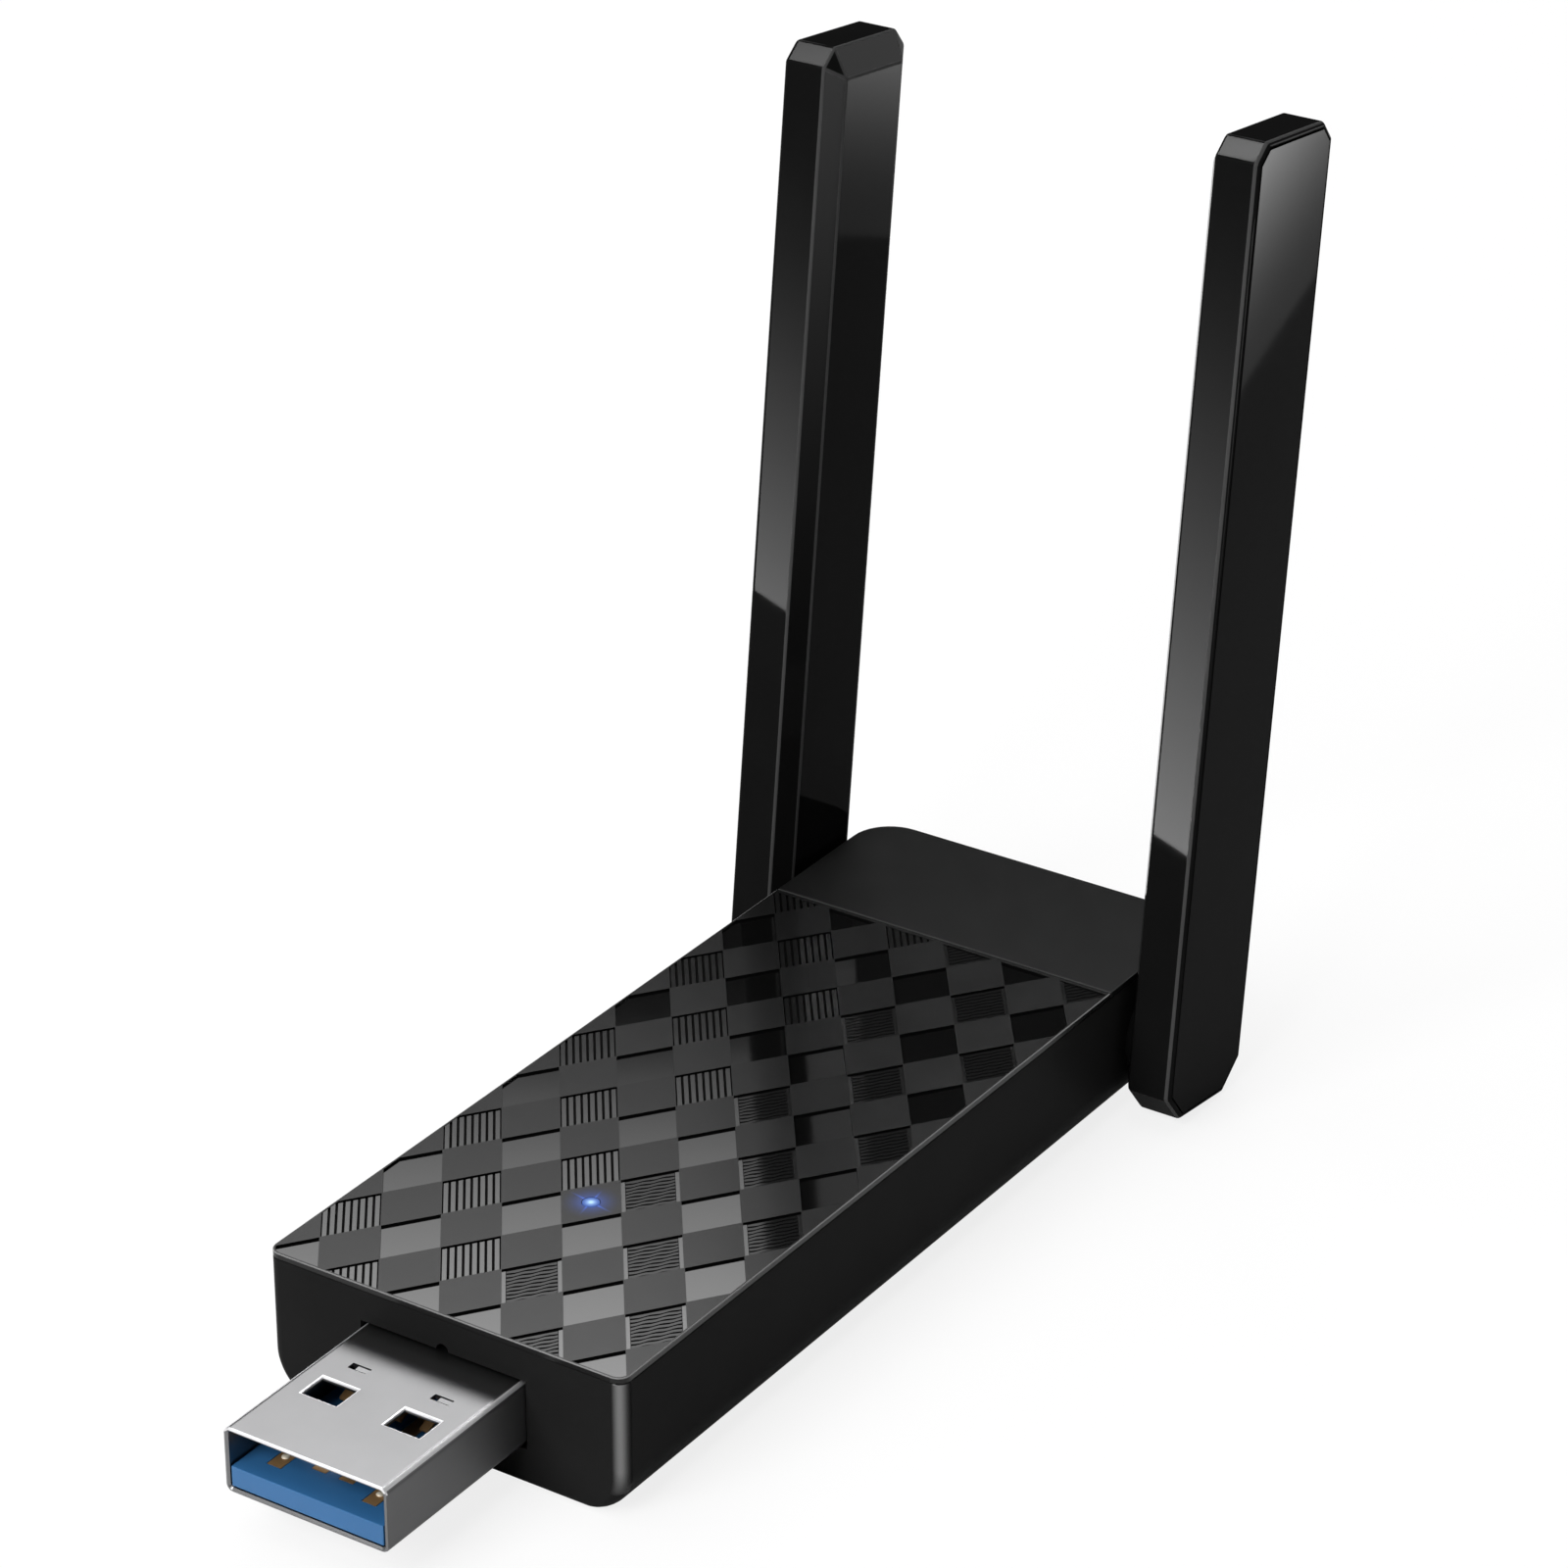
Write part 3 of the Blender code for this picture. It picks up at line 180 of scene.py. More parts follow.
# Textured cells
BAR_WIDTH = 0.26 * MM
BAR_STEP = 0.04 * MM
BAR_DROP = 0.05 * MM
RIDGE_STEPS = (0.0, 0.62, 0.81)
GROOVE_DEPTH = 0.05 * MM
FIELD_RISE = 0.06 * MM
WAVE_POINTS = 12
WAVE_SHIFT = 0.045 * MM
WAVES = 2.5

# Indicator light, and its painted glow on the plate, a halo and star rays: each ray has a direction and a reach
HALO_REACH = 2.2 * MM
HALO_POWER = 2.6
HALO_STRENGTH = 0.5
STAR_RAYS = ((math.radians(-10.0), 2.0 * MM), (math.radians(99.0), 1.7 * MM))
RAY_WIDTH = 0.14 * MM
RAY_POWER = 2.0
STAR_STRENGTH = 1.2
GUIDE_COLOUR = (0.02, 0.05, 0.12)
HEART_REACH = 0.5 * MM
HEART_POWER = 1.2
HEART_COLOUR = (0.5, 0.78, 1.0)
HEART_FULL = 0.75
HEART_STRENGTH = 0.8
GUIDE_STRENGTH = 0.3

# Plug
PLUG_WIDTH = PLUG_HIGH.x - PLUG_LOW.x
PLUG_HEIGHT = 4.5 * MM
PLUG_TOP = PLUG_HIGH.z
PLUG_BOTTOM = PLUG_TOP - PLUG_HEIGHT
PLUG_AXIS = PLUG_TOP - PLUG_HEIGHT / 2
PLUG_WALL = 0.3 * MM
PLUG_CORNER = 0.5 * MM
SHELL_LIP = 0.14 * MM
INNER_LIP = 0.12 * MM
# Painted highlight on the plug's upper lip, folds, window rims and detent tabs, and painted shade on its outer
# flanks
LIP_FACING = 0.2
FOLD_FROM = math.sin(math.radians(16.0))
FOLD_TO = math.sin(math.radians(50.0))
FOLD_LEVEL = 0.1
FLANK_FACING = 0.9
PLUG_HIGHLIGHT_GAIN = 3.8
FLANK_PAINTED_SHADE = 0.58
WINDOW_SIZE = (2.55 * MM, 2.05 * MM)
WINDOW_PLACE = (3.05 * MM, FRONT - 7.0 * MM)
WINDOW_FLARE = 0.15 * MM
DETENT_SIZE = (1.4 * MM, 0.6 * MM)
DETENT_PLACE = (3.05 * MM, FRONT - 4.1 * MM)
TAB_LENGTH_SHARE = 0.66
TAB_WIDTH_SHARE = 0.62
TAB_DROP = (0.03 * MM, 0.06 * MM)
TAB_GRIP = 0.1 * MM

# Tongue and contacts
TONGUE_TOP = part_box("usb_contact_power")[1].z
TONGUE_EDGE = 0.07 * MM
TONGUE_EDGE_STEPS = 2
BASE_FRONT = FRONT - 1.0 * MM
CONTACT_NAMES = tuple(f"usb_contact_{line}" for line in ("power", "data_minus", "data_plus", "ground"))
CONTACT_THICKNESS = 0.16 * MM
CONTACT_ROOM = 0.05 * MM
FAST_NAMES = tuple(f"usb_fast_contact_{index}" for index in range(1, 6))
FAST_BOTTOM = TONGUE_TOP + 0.35 * MM
DOME_RADIUS = 0.26 * MM
DOME_RISE = 0.14 * MM
DOME_SETBACK = 1.1 * MM
DOME_RINGS = 7
DOME_STEPS = 24
# Pale dome colour: a painted highlight on the contacts' domes
DOME_HIGHLIGHT_COLOUR = (0.92, 0.83, 0.66)

# Antennas, in a frame on the hinge axis: outward, front to back, up
ANTENNA_IN = 13.64 * MM
ANTENNA_OUT = 17.66 * MM
ANTENNA_DEPTH = 9.8 * MM
ANTENNA_TIP = 62.5 * MM
ANTENNA_END = 4.65 * MM
ANTENNA_LEAN = math.radians(6.4)
TIP_CUT = 1.2 * MM
END_CUT = 2.05 * MM
CHAMFER_DEPTH = 0.91 * MM
CHAMFER_SIDE = 1.52 * MM
CHAMFER_END = 2.0 * MM
EDGE_BEVEL = 0.25 * MM
EDGE_STEPS = 3
# Painted highlight on the antennas' fine round edges: a lighter copy of the plastic, kept off edges that turn away
# and off the outer rim
EDGE_FACING = 0.1
RIM_FACING = 0.72
ANTENNA_EDGE_HIGHLIGHT = 9.0
ANTENNA_WALL = 0.8 * MM
LID_RIM = 0.45 * MM
LID_THICKNESS = 0.7 * MM
LID_SEAT = 0.05 * MM
COLLAR_IN = 13.25 * MM
COLLAR_RADIUS = 3.5 * MM
COLLAR_ROUND = 0.12 * MM
PIN_HOLE_RADIUS = 1.86 * MM

# Camera and room
CAMERA_PLACE = Vector((169.67, -252.79, 185.35)) * MM
CAMERA_AZIMUTH = math.radians(33.6)
CAMERA_ELEVATION = math.radians(26.9)
CAMERA_LENS = 125.53
CAMERA_SENSOR = 36.0
CAMERA_CLIP = (0.01, 20.0)
WORLD_GREY = 0.02
FLOOR_HALF = 4.0
FLOOR_DROP = 0.05 * MM
FLOOR_OWN_LIGHT = 0.83
FLOOR_MIRRORED_LIGHT = 0.08

# Soft lamps: place, aim, size, and whether shiny faces mirror them
LAMPS = {
    "key": ((-0.12, -0.98, 0.75), (0.0, 0.0, 0.02), 0.7, True),
    "top": ((-0.3, -0.15, 1.2), (0.0, 0.0, 0.0), 1.3, True),
    "fill": ((-0.45, 0.9, 0.55), (0.0, 0.0, 0.02), 0.8, False),
}

# Cards: the setting of their brightness, a share of it, how it spreads, and their corners in mm, foot first
LEFT_SHARE = 0.62
ROOM_SPREAD = {"dim": 0.3, "power": 1.0, "gridded": False}
CARDS = {
    "rear_card": ("rear_card", 1.0, {"full_at": 0.7, "power": 1.0, "gridded": False}, (
        (-266, 114, 145), (-136, 205, 145), (-136, 205, 265), (-266, 114, 265))),
    "high_card": ("high_card", 1.0, {"dim": 1.0, "gridded": False}, (
        (-128, 210, 205), (-20, 286, 205), (-20, 286, 325), (-128, 210, 325))),
    "front_card_right": ("front_card", 1.0, {"power": 2.6}, (
        (-9.7, 12.3, 74.2), (15.3, 2.2, 62.5), (19.7, 11.5, 14.1), (-4.6, 21.4, 25.0))),
    "front_card_left": ("front_card", LEFT_SHARE, {"power": 2.6}, (
        (-39.5, 16.1, 69.3), (-14.5, 3.7, 56.9), (-11.1, 9.9, 21.5), (-35.5, 22.1, 33.6))),
    "side_card": ("side_card", 1.0, {"dim": 0.08, "power": 2.4}, (
        (39.4, 89.7, 42.5), (46.9, 78.3, 24.8), (50.0, 83.9, 42.0), (42.5, 95.6, 60.3))),
    "inner_card": ("inner_card", 1.0, {"dim": 0.13, "power": 2.6}, (
        (20.8, 97.0, 25.6), (29.4, 91.7, 25.8), (32.2, 96.0, 39.9), (23.6, 101.4, 39.7))),
    "chamfer_card": ("chamfer_card", 1.0, {}, (
        (40.2, 45.2, 5.7), (36.3, 1.3, 7.1), (49.9, -0.8, 53.8), (54.1, 44.6, 52.9))),
    "tip_card": ("tip_card", 1.0, {"dim": 0.375, "power": 1.0}, (
        (-63, 20.5, 108.1), (-51.3, 23.7, 115.3), (-6.5, 19.5, 140.2), (-16.5, 15.9, 133.8))),
    "back_card": ("back_card", 1.0, {"dim": 0.8}, (
        (12, 107.6, 60.4), (49.9, 83.8, 60), (47.6, 80.7, 89.3), (10.1, 104.2, 90))),
    "lift_card": ("lift_card", 1.0, {"dim": 0.8}, (
        (14.3, 111.4, 64.7), (52.8, 87.8, 62.5), (45.1, 77.3, 84.9), (7.7, 100.1, 87.2))),
    "room_front": ("room_cards", 1.0, ROOM_SPREAD, (
        (600, -700, 60), (-600, -700, 60), (-600, -700, 560), (600, -700, 560))),
    "room_right": ("room_cards", 1.0, ROOM_SPREAD, (
        (700, 600, 60), (700, -600, 60), (700, -600, 560), (700, 600, 560))),
    "room_left": ("room_cards", 1.0, ROOM_SPREAD, (
        (-700, -900, 60), (-700, 200, 60), (-700, 200, 560), (-700, -900, 560))),
    "room_rear": ("room_cards", 1.0, ROOM_SPREAD, (
        (100, 700, 60), (700, 700, 60), (700, 700, 560), (100, 700, 560))),
}
CARD_UNWRAP = ((0.0, 0.0), (1.0, 0.0), (1.0, 1.0), (0.0, 1.0))
GRID_FULL = 1.0 - math.cos(math.radians(6.5))
GRID_DARK = 1.0 - math.cos(math.radians(10.0))


# What a user may change

def length_setting(name, description, default, low, high):
    """A setting for a length, with its values in mm."""
    return FloatProperty(name=name, description=description, default=default * MM, min=low * MM,
                         max=high * MM, unit="LENGTH", precision=6)


def colour_setting(name, description, default):
    """A setting for a colour."""
    return FloatVectorProperty(name=name, description=description, default=default, min=0.0, max=1.0, size=3,
                               subtype="COLOR")


def lamp_setting(name, place, default):
    """A setting for the power of a soft lamp."""
    return FloatProperty(name=name, description=f"Power of the soft light {place}", default=default, min=0.0,
                         unit="POWER")


def card_setting(name, use, default):
    """A setting for the brightness of a card or cards."""
    return FloatProperty(name=name, description=f"Brightness of the {use}", default=default, min=0.0)


class AdapterSizes(bpy.types.PropertyGroup):
    """Sizes of the finishing details."""

    recess_depth: length_setting(
        "Recess depth", "How far the sunk cells of the check lie under the plate's face", 0.14, 0.12, 0.3)
    cell_gap: length_setting("Cell gap", "How far each sunk cell stays inside its rhombus", 0.025, 0.01, 0.2)
    rib_count: IntProperty(name="Ribs", description="Ribs in each ribbed cell", default=8, min=3, max=14)
    ridge_count: IntProperty(
        name="Ridges", description="Fine ridges in each textured cell", default=9, min=4, max=16)
    plate_rim: length_setting(
        "Plate rim", "Plain rim between the check and the plate's edge", 0.16, 0.1, 1.0)
    edge_break: length_setting("Edge break", "Width of the broken edges of the covers", 0.06, 0.02, 0.3)
    antenna_edge: length_setting(
        "Antenna edge", "Width of the rounded edges of the antennas", 0.13, 0.02, 0.25)
    lid_groove: length_setting("Lid groove", "Gap around the outer lid of an antenna", 0.06, 0.02, 0.2)


class AdapterColours(bpy.types.PropertyGroup):
    """Colours of the finishes."""

    case: colour_setting("Case", "Moulded case", (0.0118, 0.0118, 0.0118))
    plate: colour_setting("Plate", "Check plate and rear cover", (0.008, 0.008, 0.008))
    antenna: colour_setting("Antennas", "Polished antenna plastic", (0.0054, 0.0054, 0.0054))
    steel: colour_setting("Plug", "Plated steel of the plug", (0.2, 0.2, 0.203))
    tongue: colour_setting("Tongue", "Plastic tongue of the plug", (0.0265, 0.121, 0.288))
    contact: colour_setting("Contacts", "Plated contacts", (0.42, 0.25, 0.11))
    light: colour_setting("Light", "Indicator light", (0.05, 0.19, 1.0))
    floor: colour_setting("Floor", "Floor of the stage", (0.88, 0.88, 0.88))


class AdapterStage(bpy.types.PropertyGroup):
    """Light of the stage."""

    key_power: lamp_setting("Key light", "at the front left", 14.5)
    top_power: lamp_setting("Top light", "overhead", 10.8)
    fill_power: lamp_setting("Fill light", "behind the object", 6.0)
    rear_card: card_setting("Rear card", "card that the top face mirrors", 5.6)
    high_card: card_setting("High card", "card above the rear card's right end", 9.0)
    front_card: card_setting("Front cards", "cards that the antennas' front faces mirror", 210.0)
    side_card: card_setting("Side card", "card that the right antenna's outer side mirrors", 43.0)
    inner_card: card_setting("Inner card", "card that the left antenna's inner side mirrors", 23.0)
    chamfer_card: card_setting("Chamfer card", "card that the left antenna's long chamfer mirrors", 46.0)
    tip_card: card_setting("Tip card", "card that the cut tips mirror", 172.0)
    back_card: card_setting("Back card", "card that the left antenna's top chamfer mirrors", 14.0)
    lift_card: card_setting("Lift card", "card that the plate mirrors by way of the left antenna", 42.0)
    room_cards: card_setting("Room cards", "wide cards around the room", 1.0)


# Materials

class Finish:
    """A Principled material and the nodes that give it its detail."""

    def __init__(self, name, **sockets):
        self.material = bpy.data.materials.new(name)
        self.material.use_nodes = True
        self.tree = self.material.node_tree
        self.shader = self.tree.nodes["Principled BSDF"]
        for socket, value in sockets.items():
            self.set(socket, value)

    def set(self, socket, value):
        """Set or link an input of the shader, with underscores for the spaces in its name."""
        self.feed(self.shader.inputs[socket.replace("_", " ")], value)

    def node(self, kind, **inputs):
        """A new node with some of its inputs set or linked."""
        made = self.tree.nodes.new("ShaderNode" + kind)
        for name, value in inputs.items():
            self.feed(made.inputs[name.replace("_", " ")], value)
        return made

    def feed(self, socket, value):
        """Link an output to a socket, or set the socket's value."""
        if isinstance(value, bpy.types.NodeSocket):
            self.tree.links.new(value, socket)
        else:
            socket.default_value = value

    def place(self, stretch=EVEN):
        """Object coordinates in metres, stretched along the axes."""
        mapping = self.node("Mapping", Vector=self.node("TexCoord").outputs["Object"])
        mapping.inputs["Scale"].default_value = stretch
        return mapping.outputs["Vector"]

    def noise(self, size, detail, stretch=EVEN):
        """Noise with features of about a size in metres."""
        made = self.node("TexNoise", Vector=self.place(stretch), Scale=1.0 / size, Detail=detail)
        return made.outputs["Fac"]

    def between(self, factor, middle, spread):
        """A number that follows a noise either side of a middle value."""
        made = self.node("MapRange", Value=factor, From_Min=NOISE_LOW, From_Max=NOISE_HIGH,
                         To_Min=middle * (1.0 - spread), To_Max=middle * (1.0 + spread))
        return made.outputs["Result"]

    def shade(self, factor, colour, spread):
        """A colour that follows a noise from darker to lighter."""
        ramp = self.node("ValToRGB", Fac=factor)
        dark, light = ramp.color_ramp.elements
        dark.position = NOISE_LOW
        dark.color = (*scaled(colour, 1.0 - spread), 1.0)
        light.position = NOISE_HIGH
        light.color = (*scaled(colour, 1.0 + spread), 1.0)
        return ramp.outputs["Color"]

    def bump(self, height, depth):
        """Surface relief of a depth in metres."""
        self.set("Normal", self.node("Bump", Height=height, Distance=depth).outputs["Normal"])

    def mix(self, factor, first, second):
        """Show one shader, and another as a factor rises to one, in place of the usual one."""
        self.tree.nodes.remove(self.shader)
        mixed = self.node("MixShader", Fac=factor)
        self.feed(mixed.inputs[1], first)
        self.feed(mixed.inputs[2], second)
        self.feed(self.tree.nodes["Material Output"].inputs["Surface"], mixed.outputs["Shader"])

    def reckon(self, operation, first, second):
        """One Math node."""
        made = self.node("Math")
        made.operation = operation
        self.feed(made.inputs[0], first)
        self.feed(made.inputs[1], second)
        return made.outputs["Value"]

    def product(self, first, second):
        """The product of two numbers."""
        return self.reckon("MULTIPLY", first, second)

    def total(self, first, second):
        """The sum of two numbers."""
        return self.reckon("ADD", first, second)

    def falloff(self, distance, reach, power):
        """One at no distance, falling to nothing at a reach."""
        size = self.reckon("ABSOLUTE", distance, 0.0)
        left = self.node("MapRange", Value=size, From_Max=reach, To_Min=1.0, To_Max=0.0)
        return self.reckon("POWER", left.outputs["Result"], power)


def scaled(colour, factor):
    """A colour made darker or lighter."""
    return tuple(min(channel * factor, 1.0) for channel in colour)


def moulded(name, colour, roughness, specular, grain=0.25 * MM, depth=0.0007 * MM, vary=0.08):
    """Moulded plastic: fine grain, and a faint cloudiness in colour and gloss."""
    finish = Finish(name, Specular_IOR_Level=specular)
    finish.set("Base Color", finish.shade(finish.noise(CLOUD_SIZE, SOFT_DETAIL), colour, vary))
    finish.set("Roughness", finish.between(finish.noise(GLOSS_SIZE, FINE_DETAIL), roughness, GLOSS_SPREAD))
    finish.bump(finish.noise(grain, SOFT_DETAIL), depth)
    return finish


def plated(name, colour, roughness, stretch=EVEN, metal=1.0):
    """Plated metal with the faint drawn lines of rolled sheet."""
    finish = Finish(name, Metallic=metal)
    lines = finish.noise(SHEET_GRAIN, FINE_DETAIL, stretch)
    finish.set("Base Color", finish.shade(finish.noise(TONE_SIZE, SOFT_DETAIL), colour, SHEET_SPREAD))
    finish.set("Roughness", finish.between(lines, roughness, SHEET_SPREAD))
    finish.bump(lines, SHEET_DEPTH)
    return finish


def from_light(finish, operation):
    """What a vector operation makes of a place and the middle of the indicator light."""
    made = finish.node("VectorMath", Vector=finish.place())
    made.operation = operation
    made.inputs[1].default_value = (LIGHT_X, LIGHT_Y, BODY_TOP)
    return made.outputs


def plain_painted_glow(colours):
    """Satin plain cells, with a painted glow of the blue light around the indicator: a halo and star rays, painted
    as emission.
    """
    finish = moulded("plate_satin", colours.plate, roughness=0.22, specular=0.21)
    parts = finish.node("SeparateXYZ", Vector=from_light(finish, "SUBTRACT")["Vector"]).outputs
    distance = from_light(finish, "DISTANCE")["Value"]
    halo = finish.falloff(distance, HALO_REACH, HALO_POWER)
    rays = []
    for turn, reach in STAR_RAYS:
        from_x = finish.product(parts["X"], -math.sin(turn))
        from_y = finish.product(parts["Y"], math.cos(turn))
        thin = finish.falloff(finish.total(from_x, from_y), RAY_WIDTH, RAY_POWER)
        rays.append(finish.product(thin, finish.falloff(distance, reach, RAY_POWER)))
    star = finish.total(*rays)
    glow = finish.total(finish.product(halo, HALO_STRENGTH), finish.product(star, STAR_STRENGTH))
    finish.set("Emission Color", (*colours.light, 1.0))
    finish.set("Emission Strength", glow)
    return finish


def lit_guide(colours):
    """Clear guide, lit from below: blue with a white heart."""
    finish = moulded("light_guide_clear", GUIDE_COLOUR, roughness=0.2, specular=0.2)
    heart = finish.falloff(from_light(finish, "DISTANCE")["Value"], HEART_REACH, HEART_POWER)
    ramp = finish.node("ValToRGB", Fac=heart)
    outer, inner = ramp.color_ramp.elements
    outer.color = (*colours.light, 1.0)
    inner.position = HEART_FULL
    inner.color = (*HEART_COLOUR, 1.0)
    finish.set("Emission Color", ramp.outputs["Color"])
    finish.set("Emission Strength", finish.total(finish.product(heart, HEART_STRENGTH), GUIDE_STRENGTH))
    return finish


def corner_painted_highlight(colours):
    """The case's plastic, with a painted highlight: a shine that peaks partway round a corner and fades at its
    foot.
    """
    finish = moulded("case_corner", colours.case, roughness=0.15, specular=1.0)
    finish.set("IOR", CORNER_INDEX)
    turned = finish.node("SeparateXYZ", Vector=finish.node("NewGeometry").outputs["Normal"]).outputs["X"]
    share = finish.product(turned, turned)
    rest = finish.reckon("SUBTRACT", 1.0, share)
    across = finish.product(finish.product(share, CORNER_PEAK), finish.product(rest, rest))
    height = finish.node("SeparateXYZ", Vector=finish.place()).outputs["Z"]
    up = finish.node("MapRange", Value=height, From_Min=CORNER_FOOT, From_Max=CORNER_FOOT + CORNER_FADE)
    finish.set("Specular IOR Level", finish.product(across, up.outputs["Result"]))
    return finish


# Mesh tools

def linked(name, data):
    """A new object in the scene."""
    made = bpy.data.objects.new(name, data)
    bpy.context.scene.collection.objects.link(made)
    return made


def new_piece(name, build, finishes):
    """A piece whose mesh a function fills in."""
    mesh = bpy.data.meshes.new(name)
    bm = bmesh.new()
    build(bm)
    bmesh.ops.remove_doubles(bm, verts=bm.verts, dist=WELD)
    bmesh.ops.recalc_face_normals(bm, faces=bm.faces)
    bm.to_mesh(mesh)
    bm.free()
    for finish in finishes:
        mesh.materials.append(finish.material)
    return linked(name, mesh)


def settle(piece):
    """Replace a piece's mesh by what its modifiers make of it."""
    bpy.context.view_layer.update()
    graph = bpy.context.evaluated_depsgraph_get()
    mesh = bpy.data.meshes.new_from_object(piece.evaluated_get(graph))
    old = piece.data
    piece.modifiers.clear()
    piece.data = mesh
    bpy.data.meshes.remove(old)
    if not mesh.polygons:
        raise RuntimeError(f"nothing is left of {piece.name}")


def combine(piece, operation, *others):
    """Cut, join or keep a piece with helper shapes, which are then removed."""
    for other in others:
        modifier = piece.modifiers.new(other.name, "BOOLEAN")
        modifier.operation = operation
        modifier.solver = "EXACT"
        modifier.material_mode = "TRANSFER"
        modifier.object = other
    settle(piece)
    for other in others:
        mesh = other.data
        bpy.data.objects.remove(other, do_unlink=True)
        bpy.data.meshes.remove(mesh)


def shade(piece):
    """Smooth shading between a piece's real edges, with its flat faces kept flat."""
    piece.data.shade_smooth()
    piece.data.set_sharp_from_angle(angle=SMOOTH_ANGLE)
    normals = piece.modifiers.new("flat_faces", "WEIGHTED_NORMAL")
    normals.keep_sharp = True
    return piece


def seat(piece, body, slot, *nodes):
    """Put a finished piece on its body, in place of CAD nodes; its slot is not used."""
    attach(piece, body)
    if nodes:
        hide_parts(*nodes)


def skin(bm, first, second, kind):
    """Faces between two loops of the same count."""
    count = len(first)
    for index in range(count):
        after = (index + 1) % count
        face = bm.faces.new((first[index], first[after], second[after], second[index]))
        face.material_index = kind


def loft(bm, loops, closed=False, kinds=()):
    """A solid through a row of loops, capped at its ends unless it is closed on itself."""
    rings = [[bm.verts.new(point) for point in loop] for loop in loops]
    kinds = kinds or (MAIN,) * len(rings)
    for first, second, kind in zip(rings, rings[1:], kinds):
        skin(bm, first, second, kind)
    if closed:
        skin(bm, rings[-1], rings[0], kinds[-1])
    else:
        bm.faces.new(list(reversed(rings[0])))
        bm.faces.new(rings[-1])


def rounded(left, low, right, high, radii, steps=CORNER_STEPS):
    """A rectangle with its own radius at each corner, anticlockwise from the low left."""
    outline = []
    corners = ((left, low, 180.0), (right, low, 270.0), (right, high, 0.0), (left, high, 90.0))
    for (x, y, start), radius in zip(corners, radii):
        middle_x = x + radius if x == left else x - radius
        middle_y = y + radius if y == low else y - radius
        for step in range(steps + 1):
            angle = math.radians(start + 90.0 * step / steps)
            outline.append((middle_x + radius * math.cos(angle), middle_y + radius * math.sin(angle)))
    return outline


def circle(radius, steps=ROUND_STEPS):
    """A round outline."""
    return [(radius * math.cos(2 * math.pi * step / steps), radius * math.sin(2 * math.pi * step / steps))
            for step in range(steps)]


def level(outline, height):
    """An outline laid flat at a height."""
    return [(x, y, height) for x, y in outline]


def upright(outline, along):
    """An outline in (x, z) stood at a place along the plug."""
    return [(x, along, z) for x, z in outline]


def helper(name, loops, finishes=(), kinds=()):
    """A lofted shape, most often one that only cuts or joins."""
    return new_piece(name, lambda bm: loft(bm, loops, kinds=kinds), finishes)


def block(name, low, high, finishes=(), flare=0.0):
    """A box that only cuts or joins; a flare rounds the edge that its upper end cuts."""
    def outline(grow):
        return rounded(low[0] - grow, low[1] - grow, high[0] + grow, high[1] + grow, (LEAST_RADIUS,) * 4,
                       FINE_CORNER_STEPS)

    if not flare:
        return helper(name, [level(outline(0.0), low[2]), level(outline(0.0), high[2])], finishes)
    # A flare's faces take the second finish: on the plug, the painted highlight of the window rims
    near = flare * ROUND_SHARE
    loops = [level(outline(0.0), low[2]), level(outline(0.0), high[2] - flare),
             level(outline(near), high[2] - near), level(outline(flare), high[2]),
             level(outline(flare), high[2] + OVERLAP)]
    return helper(name, loops, finishes, (MAIN, HIGHLIGHT_FINISH, HIGHLIGHT_FINISH, HIGHLIGHT_FINISH))


# Case

def drop(radius, height):
    """How far a rounded lower edge stands back at a height above its foot."""
    if height >= radius:
        return 0.0
    return radius - math.sqrt(radius ** 2 - (radius - height) ** 2)


def case_outline(height, inset, floor):
    """Plan of the case's wall at a height, or of its hollow where it is inset."""
    rise = height - floor
    side_drop = drop(max(LOWER_RADIUS - inset, LEAST_RADIUS), rise)
    front_drop = drop(max(FRONT_LOWER_RADIUS - inset, LEAST_RADIUS), rise)
    half = HALF_WIDTH - inset - side_drop
    front_corner = max(FRONT_RADIUS - inset - front_drop / 2, LEAST_RADIUS)
    rear_corner = max(REAR_RADIUS - inset - side_drop, LEAST_RADIUS)
    return rounded(-half, FRONT + inset + front_drop, half, REAR - inset - side_drop,
                   (front_corner, front_corner, rear_corner, rear_corner))


def wall_heights(floor, radius, top):
    """Heights of the loops up a wall with a rounded lower edge."""
    turns = [math.pi / 2 * step / LOWER_STEPS for step in range(LOWER_STEPS + 1)]
    return [floor + radius * (1.0 - math.cos(turn)) for turn in turns] + [top]


